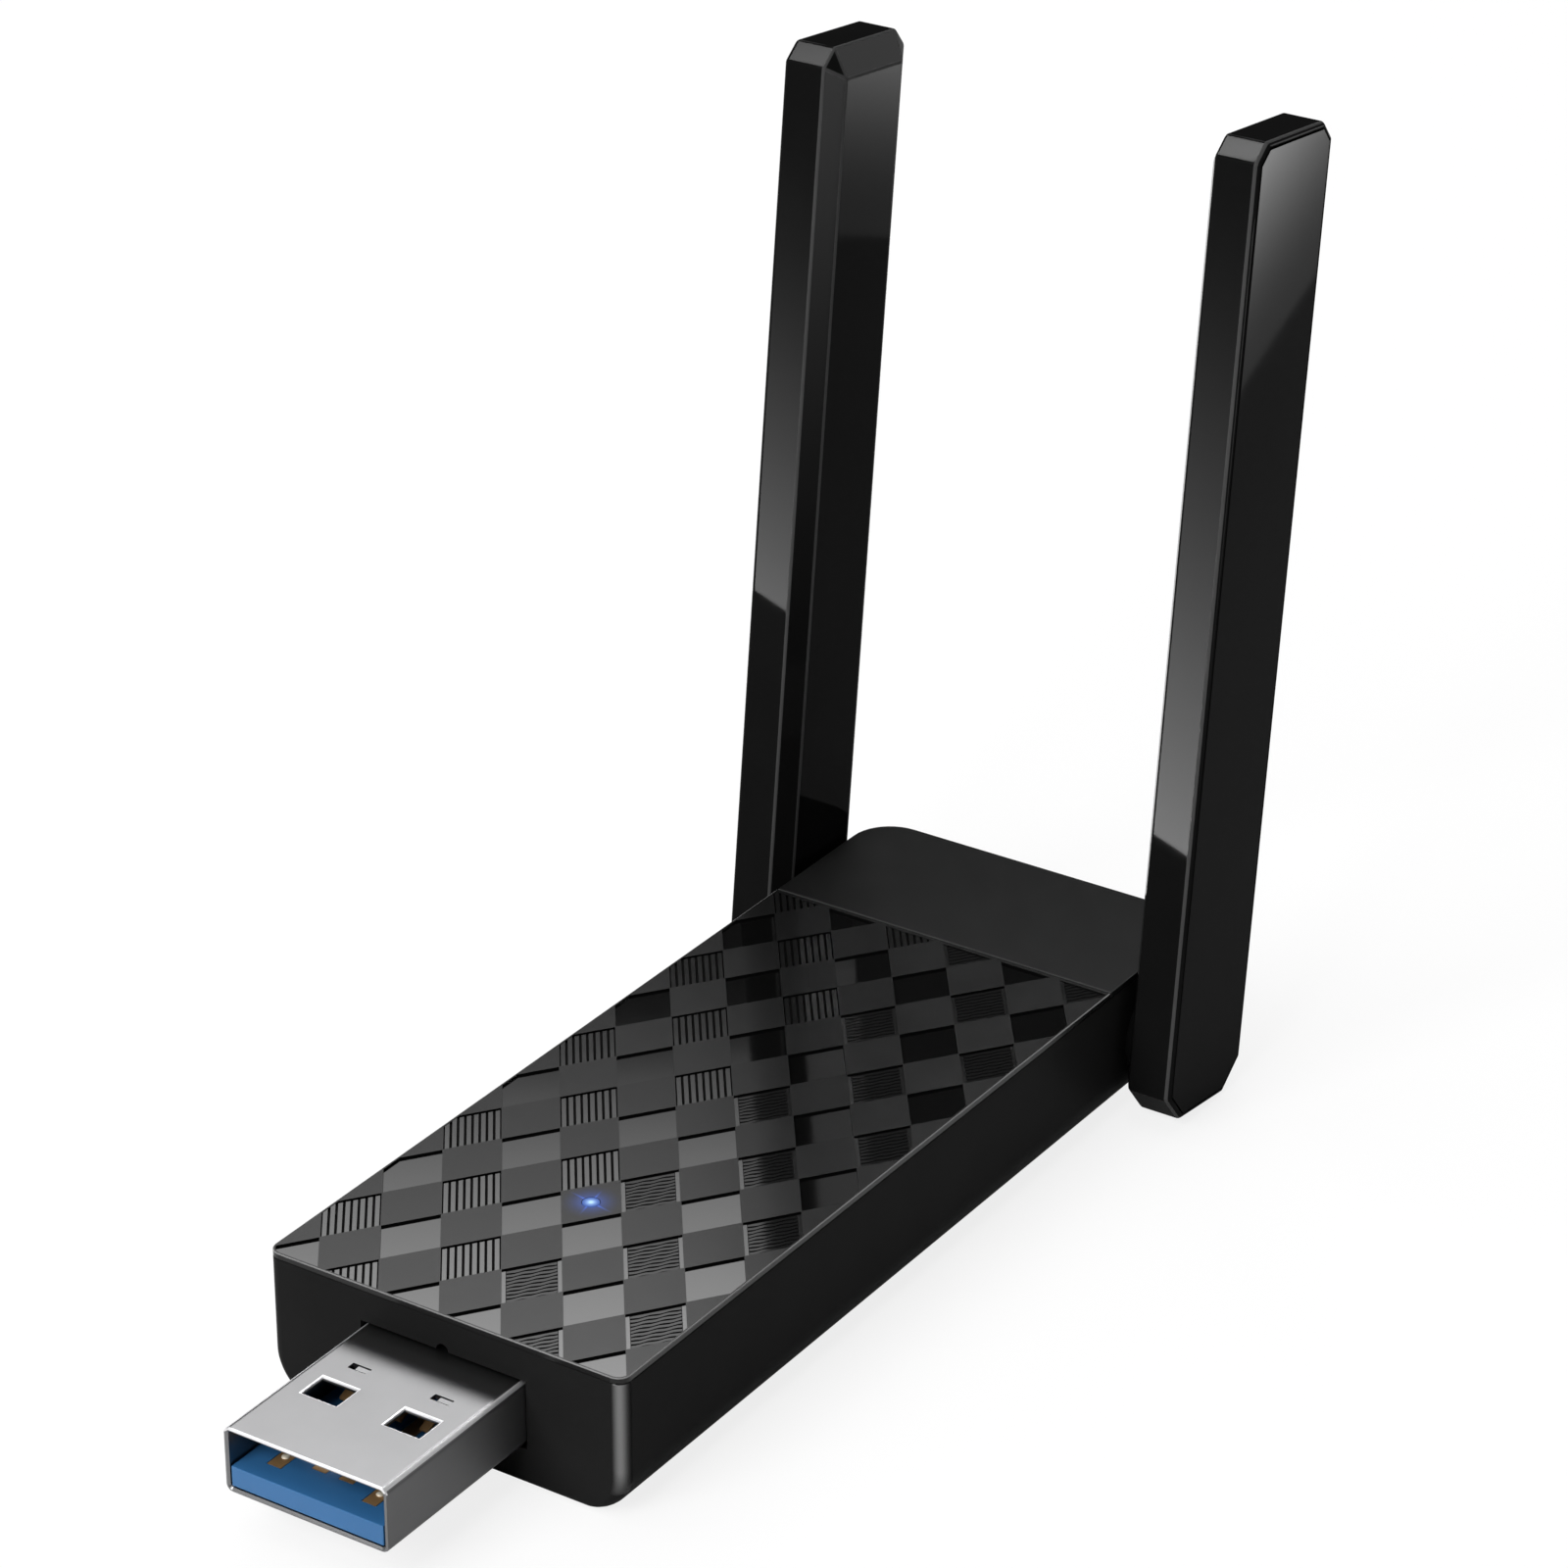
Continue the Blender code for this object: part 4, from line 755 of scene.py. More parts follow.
def make_case(colours):
    """Case tray: rounded walls, open top with a broken rim, plug opening and hinge bores."""
    finish = moulded("case_moulded", colours.case, roughness=0.3, specular=0.008, depth=0.0002 * MM)
    outside = wall_heights(0.0, LOWER_RADIUS, CASE_TOP - SEAM_BREAK)
    inside = wall_heights(CASE_WALL, LOWER_RADIUS - CASE_WALL, CASE_TOP)
    loops = [level(case_outline(height, 0.0, 0.0), height) for height in outside]
    loops.append(level(case_outline(CASE_TOP, SEAM_BREAK, 0.0), CASE_TOP))
    loops += [level(case_outline(height, CASE_WALL, CASE_WALL), height) for height in reversed(inside)]

    def build(bm):
        loft(bm, loops)
        bmesh.ops.recalc_face_normals(bm, faces=bm.faces)
        # Faces of the front right corner take the finish with the painted highlight
        for face in bm.faces:
            middle = face.calc_center_median()
            at_corner = middle.y < FRONT + FRONT_RADIUS and middle.z > CORNER_FOOT
            if at_corner and CORNER_FROM < face.normal.x < CORNER_TO and face.normal.y < 0.0:
                face.material_index = HIGHLIGHT_FINISH

    case = new_piece("case_tray", build, (finish, corner_painted_highlight(colours)))
    half = PLUG_WIDTH / 2 + PLUG_GAP
    top = PLUG_TOP + PLUG_GAP
    ends = (FRONT - OVERLAP, FRONT + CASE_WALL + OVERLAP)
    opening = block("plug_opening", (-half, ends[0], PLUG_BOTTOM - PLUG_GAP), (half, ends[1], top))
    notch = helper("plug_notch", [[(x, along, top + z) for x, z in circle(NOTCH_RADIUS)] for along in ends])
    bores = []
    for name, side in SIDES:
        reach = (side * (HALF_WIDTH - CASE_WALL - OVERLAP), side * (HALF_WIDTH + OVERLAP))
        rings = [[(x, HINGE.y + y, HINGE.z + z) for y, z in circle(HINGE_BORE_RADIUS)] for x in reach]
        bores.append(helper(f"bore_{name}", rings))
    combine(case, "DIFFERENCE", opening, notch, *bores)
    seat(shade(case), "case", "case_plastic", "lower_case")


# Covers

def plate_outline(grow, rim_rear=0.0):
    """Plan of the check plate, moved out by a distance."""
    corner = FRONT_RADIUS + grow
    return rounded(-HALF_WIDTH - grow, FRONT - grow, HALF_WIDTH + grow, SEAM_FRONT + grow - rim_rear,
                   (corner, corner, LEAST_RADIUS, LEAST_RADIUS))


def cover_outline(grow):
    """Plan of the rear cover, moved out by a distance."""
    corner = REAR_RADIUS + grow
    return rounded(-HALF_WIDTH - grow, SEAM_REAR - grow, HALF_WIDTH + grow, REAR + grow,
                   (LEAST_RADIUS, LEAST_RADIUS, corner, corner))


def slab(name, outline, edge, finishes, edge_kind):
    """A cover's rim with a rounded upper edge."""
    near = edge * ROUND_SHARE
    loops = [level(outline(-SEAM_BREAK), RIM_BOTTOM), level(outline(0.0), RIM_BOTTOM + SEAM_BREAK),
             level(outline(0.0), BODY_TOP - edge), level(outline(-near), BODY_TOP - near),
             level(outline(-edge), BODY_TOP)]
    return helper(name, loops, finishes, (MAIN, MAIN, edge_kind, edge_kind))


def add_step(cover, name, front, rear, finish):
    """Join the step under a cover that reaches down between the case's walls."""
    combine(cover, "UNION", block(name, (-HALF_WIDTH + STEP_INSET, front, STEP_BOTTOM),
                                  (HALF_WIDTH - STEP_INSET, rear, STEP_TOP), (finish,)))


def cell_kind(column, row):
    """What fills a sunk cell: columns count from one, rows from nought."""
    if column <= RIBBED_COLUMNS:
        return "ribbed" if (column + row) % 2 == 0 else "polished"
    return "textured" if (column + row) % 2 == 1 else "polished"


def sunk_cell(bm, centre, rears, fronts, floor, shift, kinds):
    """A cutter for one cell: a grid of floor points under a flat lid, with walls between them."""
    def corner(s, t, z):
        x, y = centre + ALONG_REAR * s + ALONG_FRONT * t
        return bm.verts.new((x, y, z))

    lid = BODY_TOP + OVERLAP / 2
    grid = [[corner(s, t + shift(s, row), floor(column, row)) for column, s in enumerate(rears)]
            for row, t in enumerate(fronts)]
    for row in range(len(fronts) - 1):
        for column in range(len(rears) - 1):
            face = bm.faces.new((grid[row][column], grid[row][column + 1], grid[row + 1][column + 1],
                                 grid[row + 1][column]))
            face.material_index = kinds(column, row)
    top = [corner(s, t, lid) for s, t in ((rears[0], fronts[0]), (rears[-1], fronts[0]),
                                          (rears[-1], fronts[-1]), (rears[0], fronts[-1]))]
    edges = (grid[0], [line[-1] for line in grid], grid[-1][::-1], [line[0] for line in grid][::-1])
    # The cell's walls take the wall finish, with its painted shade
    for index, edge in enumerate(edges):
        after = (index + 1) % len(edges)
        face = bm.faces.new([*edge, top[after], top[index]])
        face.material_index = WALL
    bm.faces.new(top).material_index = WALL


def straight(s, row):
    """No shift: the lines of a cell's floor run straight."""
    return 0.0


def polished_cell(bm, centre, half, sizes):
    """A sunk cell with a flat polished floor."""
    depth = BODY_TOP - sizes.recess_depth
    ends = (-half, half)
    sunk_cell(bm, centre, ends, ends, lambda column, row: depth, straight, lambda column, row: POLISHED)


def ribbed_cell(bm, centre, half, sizes):
    """A sunk cell with flat-topped ribs behind a trench."""
    depth = BODY_TOP - sizes.recess_depth
    top = depth + sizes.recess_depth * RIB_RISE
    pitch = 2 * half / sizes.rib_count
    section = ((-RIB_FOOT, depth), (-RIB_TOP, top), (RIB_TOP, top), (RIB_FOOT, depth))
    places = [-half]
    heights = [depth]
    for index in range(sizes.rib_count):
        middle = -half + pitch * (index + 0.5)
        for share, height in section:
            places.append(middle + pitch * share / 2)
            heights.append(height)
    places.append(half)
    heights.append(depth)
    fronts = (-half, -half + TRENCH_WIDTH, -half + TRENCH_WIDTH + BAR_STEP, half)

    # Rib sides, the floor between the ribs and the trench take the wall finish, with its painted shade
    def kind(column, row):
        on_top = heights[column] == top and heights[column + 1] == top
        return RIBBED if row > 1 and on_top else WALL

    sunk_cell(bm, centre, places, fronts, lambda column, row: heights[column] if row > 1 else depth,
              straight, kind)


def textured_cell(bm, centre, half, sizes):
    """A sunk cell with fine wavy grooves between two light bars."""
    depth = BODY_TOP - sizes.recess_depth
    ridge_top = depth + FIELD_RISE
    field = half - BAR_WIDTH - BAR_STEP
    inner = [-field + 2 * field * step / WAVE_POINTS for step in range(WAVE_POINTS + 1)]
    rears = [-half, -half + BAR_WIDTH, *inner, half - BAR_WIDTH, half]
    start = -half + TRENCH_WIDTH + BAR_STEP
    pitch = (half - start) / sizes.ridge_count
    fronts = [-half, -half + TRENCH_WIDTH]
    fronts += [start + pitch * (ridge + step) for ridge in range(sizes.ridge_count) for step in RIDGE_STEPS]
    fronts.append(half)
    last_row = len(fronts) - 1
    last = len(rears) - 1
    in_ridge = len(RIDGE_STEPS)

    def floor(column, row):
        if row < 2:
            return depth
        if column in (0, 1, last - 1, last):
            return BODY_TOP - BAR_DROP
        return ridge_top - (GROOVE_DEPTH if (row - 2) % in_ridge == in_ridge - 1 else 0.0)

    def shift(s, row):
        if row <= 2 or row == last_row or abs(s) > field + BAR_STEP / 2:
            return 0.0
        return WAVE_SHIFT * math.sin(math.pi * WAVES * s / field + (row - 1) // in_ridge)

    # The trench and the grooves take the wall finish, with its painted shade
    def kind(column, row):
        if row < 2:
            return WALL
        if column in (0, last - 1):
            return RIBBED
        return TEXTURED if (row - 2) % in_ridge == 0 else WALL

    sunk_cell(bm, centre, rears, fronts, floor, shift, kind)


CELL_MAKERS = {"polished": polished_cell, "ribbed": ribbed_cell, "textured": textured_cell}


def plate_finishes(colours):
    """Finishes of the check plate, in their order."""
    # The sunk floors and walls take a darker copy of the plate: painted shade in the recesses
    sunk = scaled(colours.plate, SUNK_PAINTED_SHADE)
    return (
        plain_painted_glow(colours),
        moulded("plate_polished", sunk, roughness=0.07, specular=0.76, depth=0.0003 * MM),
        moulded("plate_ribbed", colours.plate, roughness=0.12, specular=0.85, depth=0.0005 * MM),
        moulded("plate_textured", colours.plate, roughness=0.08, specular=0.235, depth=0.0003 * MM),
        moulded("plate_wall", sunk, roughness=0.5, specular=0.02),
        # Painted highlight: a lighter copy of the plate for its broken edge
        moulded("plate_edge", scaled(colours.plate, PLATE_EDGE_HIGHLIGHT), roughness=0.3, specular=0.05),
    )


def make_check_plate(sizes, colours):
    """Check plate: satin plain cells, and sunk ones that are polished, ribbed or textured."""
    finishes = plate_finishes(colours)
    # The cut walls of the field and the light hole take the wall finish too, with its painted shade
    wall = finishes[WALL]
    # The broken edge carries the painted highlight, except where it faces the seam
    plate = slab("check_plate", plate_outline, sizes.edge_break, finishes, EDGE)
    for face in plate.data.polygons:
        if face.material_index == EDGE and face.normal.y > SEAM_FACING:
            face.material_index = PLAIN
    half = CELL_EDGE / 2 - sizes.cell_gap

    def build(bm):
        for column in range(1, CELL_COLUMNS + 1):
            for row in range(CELL_ROWS):
                centre = Vector((FIRST_CELL_X + CELL_WIDTH * (column - 1), FIRST_CELL_Y + CELL_LENGTH * row))
                CELL_MAKERS[cell_kind(column, row)](bm, centre, half, sizes)

    cells = new_piece("check_cells", build, finishes)
    inside = plate_outline(-sizes.plate_rim, sizes.plate_rim)
    depths = (BODY_TOP - sizes.recess_depth * FIELD_DEEPER, BODY_TOP + OVERLAP)
    combine(cells, "INTERSECT", helper("check_field", [level(inside, height) for height in depths], (wall,)))
    around = [(LIGHT_X + x, LIGHT_Y + y) for x, y in circle(GUIDE_HOLE_RADIUS)]
    depths = (STEP_BOTTOM - OVERLAP, BODY_TOP + OVERLAP)
    hole = helper("light_hole", [level(around, height) for height in depths], (wall,))
    add_step(plate, "plate_step", FRONT + STEP_INSET, SEAM_FRONT - STEP_SETBACK, wall)
    combine(plate, "DIFFERENCE", cells, hole)
    seat(plate, "case", "plate_plastic", "pattern_plate")


def make_rear_cover(sizes, colours):
    """Smooth cover behind the seam."""
    finish = moulded("cover_satin", colours.plate, roughness=0.3, specular=0.082, depth=0.0002 * MM)
    # Painted highlight: a lighter copy of the cover's plastic on its edge that faces the seam
    seam = moulded("cover_seam", scaled(colours.plate, SEAM_HIGHLIGHT), roughness=0.3, specular=0.05)
    cover = slab("rear_cover_shell", cover_outline, sizes.edge_break, (finish, seam), HIGHLIGHT_FINISH)
    for face in cover.data.polygons:
        if face.normal.y > -SEAM_FACING:
            face.material_index = MAIN
    add_step(cover, "cover_step", SEAM_REAR, REAR - REAR_RADIUS, finish)
    seat(shade(cover), "case", "cover_plastic", "rear_cover")


# Plug

def shell_outline(inset):
    """Section of the plug's shell, moved in by an inset."""
    half = PLUG_WIDTH / 2 - inset
    corner = max(PLUG_CORNER - inset, LEAST_RADIUS)
    return rounded(-half, PLUG_BOTTOM + inset, half, PLUG_TOP - inset, (corner,) * 4)


def shell_opening(name, side, place, size, depths, finishes, flare=0.0):
    """A cutter for a window or a slot in the plug's shell."""
    middle, along = side * place[0], place[1]
    width, length = size
    return block(name, (middle - width / 2, along - length / 2, depths[0]),
                 (middle + width / 2, along + length / 2, depths[1]), finishes, flare)


def detent_tab(name, middle, finishes):
    """The pressed tab that lies in a detent slot and hangs on its right end, in the plug's painted highlight."""
    width, length = DETENT_SIZE
    left = middle + width / 2 - width * TAB_LENGTH_SHARE
    right = middle + width / 2 + TAB_GRIP
    front = DETENT_PLACE[1] - length * TAB_WIDTH_SHARE / 2
    rear = DETENT_PLACE[1] + length * TAB_WIDTH_SHARE / 2
    high, low = TAB_DROP
    plan = [(left, front, low), (right, front, low), (right, rear, high), (left, rear, high)]
    return helper(name, [[(x, y, PLUG_TOP - PLUG_WALL + fall) for x, y, fall in plan],
                         [(x, y, PLUG_TOP - fall) for x, y, fall in plan]], finishes, (PLUG_HIGHLIGHT, PLUG_HIGHLIGHT))


def shell_kind(face):
    """Finish of a face of the plug's shell: painted highlight on the upper lip and folds, painted shade on the
    outer flanks.
    """
    across, along, up = face.normal
    if FOLD_FROM < abs(across) < FOLD_TO and up > 0.0 and abs(along) < FOLD_LEVEL:
        return PLUG_HIGHLIGHT
    if abs(across) > FLANK_FACING and abs(face.calc_center_median().x) > PLUG_WIDTH / 2 - PLUG_WALL / 2:
        return FLANK
    if face.material_index == PLUG_HIGHLIGHT and up < LIP_FACING:
        return STEEL
    return face.material_index


def make_plug(colours):
    """Folded steel shell with a rounded lip, windows with rounded edges and pressed detent tabs."""
    finishes = (
        plated("plug_plated_steel", colours.steel, roughness=0.285, stretch=DRAWN_ALONG_PLUG),
        # Painted highlight: a brighter copy of the steel
        plated("plug_bright_edge", scaled(colours.steel, PLUG_HIGHLIGHT_GAIN), roughness=0.5),
        # Painted shade: a darker copy of the steel for the outer flanks
        plated("plug_side_steel", scaled(colours.steel, FLANK_PAINTED_SHADE), roughness=0.5,
               stretch=DRAWN_ALONG_PLUG),
    )
    tip, back = PLUG_LOW.y, PLUG_HIGH.y
    near = SHELL_LIP * ROUND_SHARE
    sections = ((0.0, back), (0.0, tip + SHELL_LIP), (near, tip + near), (SHELL_LIP, tip),
                (PLUG_WALL - INNER_LIP, tip), (PLUG_WALL, tip + INNER_LIP), (PLUG_WALL, back))
    loops = [upright(shell_outline(inset), along) for inset, along in sections]

    def build(bm):
        loft(bm, loops, closed=True, kinds=(STEEL, PLUG_HIGHLIGHT, PLUG_HIGHLIGHT, STEEL, STEEL, STEEL, STEEL))
        bmesh.ops.recalc_face_normals(bm, faces=bm.faces)
        for face in bm.faces:
            face.material_index = shell_kind(face)

    shell = new_piece("plug_shell", build, finishes)
    above = (PLUG_AXIS, PLUG_TOP)
    through = (PLUG_AXIS, PLUG_TOP + OVERLAP)
    below = (PLUG_BOTTOM - OVERLAP, PLUG_BOTTOM + OVERLAP)
    cutters = []
    tabs = []
    for name, side in SIDES:
        cutters += [
            shell_opening(f"window_{name}", side, WINDOW_PLACE, WINDOW_SIZE, above, finishes, WINDOW_FLARE),
            shell_opening(f"lower_window_{name}", side, WINDOW_PLACE, WINDOW_SIZE, below, finishes),
            shell_opening(f"detent_{name}", side, DETENT_PLACE, DETENT_SIZE, through, finishes),
        ]
        tabs.append(detent_tab(f"detent_tab_{name}", side * DETENT_PLACE[0], finishes))
    combine(shell, "DIFFERENCE", *cutters)
    combine(shell, "UNION", *tabs)
    seat(shade(shell), "case", "plug_steel", "usb_shell")


def make_tongue(colours):
    """Blue tongue with a base block, grooves for the contacts, and the contacts' pressed domes."""
    plastic = moulded("tongue_plastic", colours.tongue, roughness=0.38, specular=0.35, vary=0.05)
    low, high = TONGUE_LOW, TONGUE_HIGH
    profile = [(low.y, low.z), (high.y, low.z), (high.y, high.z), (BASE_FRONT, high.z),
               (BASE_FRONT, TONGUE_TOP), (low.y, TONGUE_TOP)]

    def build(bm):
        loft(bm, [[(x, y, z) for y, z in profile] for x in (low.x, high.x)])
        bmesh.ops.recalc_face_normals(bm, faces=bm.faces)
        bmesh.ops.bevel(bm, geom=bm.edges, offset=TONGUE_EDGE, segments=TONGUE_EDGE_STEPS, profile=0.5,
                        affect="EDGES")

    def groove(name, front, bottom):
        near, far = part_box(name)
        top = bottom + CONTACT_THICKNESS
        return block(f"groove_{name}", (near.x - CONTACT_ROOM, front, bottom - CONTACT_ROOM),
                     (far.x + CONTACT_ROOM, high.y + OVERLAP, top + CONTACT_ROOM), (plastic,))

    tongue = new_piece("plug_tongue", build, (plastic,))
    cutters = [groove(name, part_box(name)[0].y - CONTACT_ROOM, TONGUE_TOP - CONTACT_THICKNESS)
               for name in CONTACT_NAMES]
    cutters += [groove(name, BASE_FRONT - OVERLAP, FAST_BOTTOM) for name in FAST_NAMES]
    combine(tongue, "DIFFERENCE", *cutters)
    seat(shade(tongue), "case", "plug_plastic", "usb_insulator")
    # The domes take a pale copy of the contacts' plating: a painted highlight
    gold = plated("dome_gold", DOME_HIGHLIGHT_COLOUR, roughness=0.35, metal=0.3)
    for index, name in enumerate(CONTACT_NAMES, 1):
        near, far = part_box(name)
        make_dome(f"contact_dome_{index}", (near.x + far.x) / 2, near.y + DOME_SETBACK, far.z, gold)


def make_dome(name, x, y, z, finish):
    """A round dome pressed up out of a contact, with a foot that sinks into the strip."""
    loops = []
    for step in range(DOME_RINGS):
        turn = math.pi / 2 * step / DOME_RINGS
        loops.append([(x + across, y + along, z + DOME_RISE * math.sin(turn))
                      for across, along in circle(DOME_RADIUS * math.cos(turn), DOME_STEPS)])
    foot = [(px, py, z - CONTACT_THICKNESS / 2) for px, py, pz in loops[0]]
    dome = helper(name, [foot, *loops], (finish,))
    seat(shade(dome), "case", "contact_gold")


# Antennas

def antenna_outline(inset):
    """Front-to-back outline of an antenna, moved in by an inset, with its corners cut."""
    half = ANTENNA_DEPTH / 2 - inset
    tip = ANTENNA_TIP - inset
    end = -ANTENNA_END + inset
    shrink = inset * (2 - math.sqrt(2))
    tip_cut = TIP_CUT - shrink
    end_cut = END_CUT - shrink
    return [(-half + end_cut, end), (half - end_cut, end), (half, end + end_cut), (half, tip - tip_cut),
            (half - tip_cut, tip), (-half + tip_cut, tip), (-half, tip - tip_cut), (-half, end + end_cut)]


def leaning(side, out, outline):
    """An outline at a distance outward, moved onto the hinge and leaned back."""
    place = Matrix.Translation(HINGE) @ Matrix.Rotation(-ANTENNA_LEAN, 4, "X")
    return [place @ Vector((side * out, along, up)) for along, up in outline]


def antenna_prism(name, side, levels, finish):
    """A shape through outlines at distances outward from the middle of the case."""
    return helper(name, [leaning(side, out, outline) for out, outline in levels], (finish,))


def antenna_body(name, side, edge, finishes):
    """The chamfered body of an antenna, with fine round edges that carry a painted highlight, a lighter copy of
    the plastic, where they face the front.
    """
    half = ANTENNA_DEPTH / 2 - CHAMFER_SIDE
    low, high = -ANTENNA_END + CHAMFER_END, ANTENNA_TIP - CHAMFER_END
    inner_face = [(-half, low), (half, low), (half, high), (-half, high)]
    levels = ((ANTENNA_IN, inner_face), (ANTENNA_IN + CHAMFER_DEPTH, antenna_outline(0.0)),
              (ANTENNA_OUT - EDGE_BEVEL, antenna_outline(0.0)), (ANTENNA_OUT, antenna_outline(EDGE_BEVEL)))

    def build(bm):
        corners = [bm.verts.new(point) for out, outline in levels for point in leaning(side, out, outline)]
        bmesh.ops.convex_hull(bm, input=corners)
        bmesh.ops.dissolve_limit(bm, angle_limit=FLAT_ANGLE, verts=bm.verts, edges=bm.edges)
        bmesh.ops.bevel(bm, geom=bm.edges, offset=edge, segments=EDGE_STEPS, profile=0.5, affect="EDGES",
                        clamp_overlap=True, material=HIGHLIGHT_FINISH)
        bmesh.ops.recalc_face_normals(bm, faces=bm.faces)
        # Edges that turn away, and the outer rim, lose the painted highlight
        for face in bm.faces:
            turned_away = max(face.normal.x, face.normal.y) < EDGE_FACING
            if turned_away or side * face.normal.x > RIM_FACING:
                face.material_index = MAIN

    return new_piece(f"antenna_body_{name}", build, finishes)


def make_antenna(name, side, sizes, finish, edge_highlight_finish, lid_finish):
    """Antenna shell with hinge collar, hollow and lid recess, and its flat outer lid."""
    shell = antenna_body(name, side, sizes.antenna_edge, (finish, edge_highlight_finish))
    eased = COLLAR_ROUND * EASED_SHARE
    turns = ((COLLAR_IN, COLLAR_RADIUS - COLLAR_ROUND), (COLLAR_IN + eased, COLLAR_RADIUS - eased),
             (COLLAR_IN + COLLAR_ROUND, COLLAR_RADIUS), (ANTENNA_IN + OVERLAP, COLLAR_RADIUS))
    collar = [(out, circle(radius)) for out, radius in turns]
    combine(shell, "UNION", antenna_prism(f"collar_{name}", side, collar, finish))
    lip = sizes.lid_groove
    mouth = antenna_outline(LID_RIM - lip)
    wide_mouth = antenna_outline(LID_RIM - lip - lip)
    room = antenna_outline(ANTENNA_WALL)
    bore = circle(PIN_HOLE_RADIUS)
    deep = ANTENNA_OUT - LID_THICKNESS - LID_SEAT
    inside = ANTENNA_IN + ANTENNA_WALL
    cuts = {
        "lid_recess": ((deep, mouth), (ANTENNA_OUT - lip, mouth), (ANTENNA_OUT, wide_mouth),
                       (ANTENNA_OUT + OVERLAP, wide_mouth)),
        "hollow": ((inside, room), (deep + OVERLAP, room)),
        "pin_hole": ((COLLAR_IN - OVERLAP, bore), (inside + OVERLAP, bore)),
    }
    combine(shell, "DIFFERENCE",
            *[antenna_prism(f"{cut}_{name}", side, levels, finish) for cut, levels in cuts.items()])
    body = f"antenna_{name}"
    seat(shade(shell), body, "antenna_plastic", f"antenna_shell_{name}")
    eased = lip * EASED_SHARE
    steps = ((LID_THICKNESS, 0.0), (lip, 0.0), (eased, eased), (0.0, lip))
    levels = [(ANTENNA_OUT - depth, antenna_outline(LID_RIM + inset)) for depth, inset in steps]
    lid = antenna_prism(f"antenna_lid_{name}", side, levels, lid_finish)
    seat(shade(lid), body, "antenna_plastic", f"antenna_cover_{name}")


def make_antennas(sizes, colours):
    """Both antennas, each on its own hinge."""
    finish = moulded("antenna_polished", colours.antenna, roughness=0.06, specular=0.009, depth=0.0002 * MM)
    lid_finish = moulded("antenna_lid_polished", colours.antenna, roughness=0.05, specular=0.009,
                         depth=0.0002 * MM)
    # Painted highlight: a lighter copy of the antenna plastic for the fine round edges
    edge_highlight_finish = moulded("antenna_edge", scaled(colours.antenna, ANTENNA_EDGE_HIGHLIGHT), roughness=0.3,
                          specular=0.013)
    for name, side in SIDES:
        make_antenna(name, side, sizes, finish, edge_highlight_finish, lid_finish)


# Inner parts

def inner_finishes(colours):
    """Finishes of the CAD parts that stay, by material slot."""
    return {
        "contact_gold": plated("contact_gold_plate", colours.contact, roughness=0.4, stretch=(1.0, 0.1, 1.0),
                               metal=0.6),
        "board": moulded("board_laminate", (0.02, 0.12, 0.05), roughness=0.42, specular=0.5, grain=0.5 * MM,
                         depth=0.004 * MM),
        "chip": moulded("chip_resin", (0.02, 0.02, 0.02), roughness=0.6, specular=0.4, grain=0.1 * MM),
        "tin": plated("tin_sheet", (0.6, 0.6, 0.6), roughness=0.35, stretch=(0.1, 1.0, 1.0)),
        "pad": moulded("pad_silicone", (0.35, 0.36, 0.4), roughness=0.8, specular=0.3, grain=0.4 * MM,
                       depth=0.01 * MM),
        "lead": moulded("lead_jacket", (0.09, 0.09, 0.09), roughness=0.5, specular=0.4, grain=0.2 * MM),
        "hinge_steel": plated("hinge_spring_steel", (0.5, 0.5, 0.52), roughness=0.3),
        "clear_plastic": lit_guide(colours),
    }


def dress_inner_parts(colours):
    """Give every CAD part that stays its own finish."""
    finishes = inner_finishes(colours)
    slots = {entry["node"]: entry["material_slot"] for entry in frame["record"]["subparts"]}
    for name, node in frame["nodes"].items():
        slot = slots.get(name)
        if node.hide_render or slot not in finishes:
            continue
        node.data.materials.clear()
        node.data.materials.append(finishes[slot].material)


# Stage

def sheet(name, corners, finish):
    """A flat sheet with four corners."""
    mesh = bpy.data.meshes.new(name)
    mesh.from_pydata(corners, [], [(0, 1, 2, 3)])
    unwrapped = mesh.uv_layers.new(name="UVMap")
    for loop, place in zip(unwrapped.data, CARD_UNWRAP):
        loop.uv = place
    mesh.materials.append(finish.material)
    return linked(name, mesh)


def card(name, corners, strength, dim=0.0, full_at=1.0, power=2.0, gridded=True):
    """A one-sided card that only reflections show, dim at its foot; a grid keeps its light in a cone."""
    finish = Finish(name)
    height = finish.node("SeparateXYZ", Vector=finish.node("TexCoord").outputs["UV"]).outputs["Y"]
    part = finish.node("MapRange", Value=height, From_Max=full_at).outputs["Result"]
    curve = finish.reckon("POWER", part, power)
    bright = finish.node("MapRange", Value=curve, To_Min=strength * dim, To_Max=strength).outputs["Result"]
    hidden = finish.node("NewGeometry").outputs["Backfacing"]
    if gridded:
        slant = finish.node("LayerWeight").outputs["Facing"]
        outside = finish.node("MapRange", Value=slant, From_Min=GRID_FULL, From_Max=GRID_DARK)
        hidden = finish.reckon("MAXIMUM", hidden, outside.outputs["Result"])
    finish.mix(hidden, finish.node("Emission", Strength=bright).outputs["Emission"],
               finish.node("BsdfTransparent").outputs["BSDF"])
    made = sheet(name, [Vector(corner) * MM for corner in corners], finish)
    made.visible_camera = False
    made.visible_diffuse = False
    made.visible_transmission = False
    made.visible_shadow = False


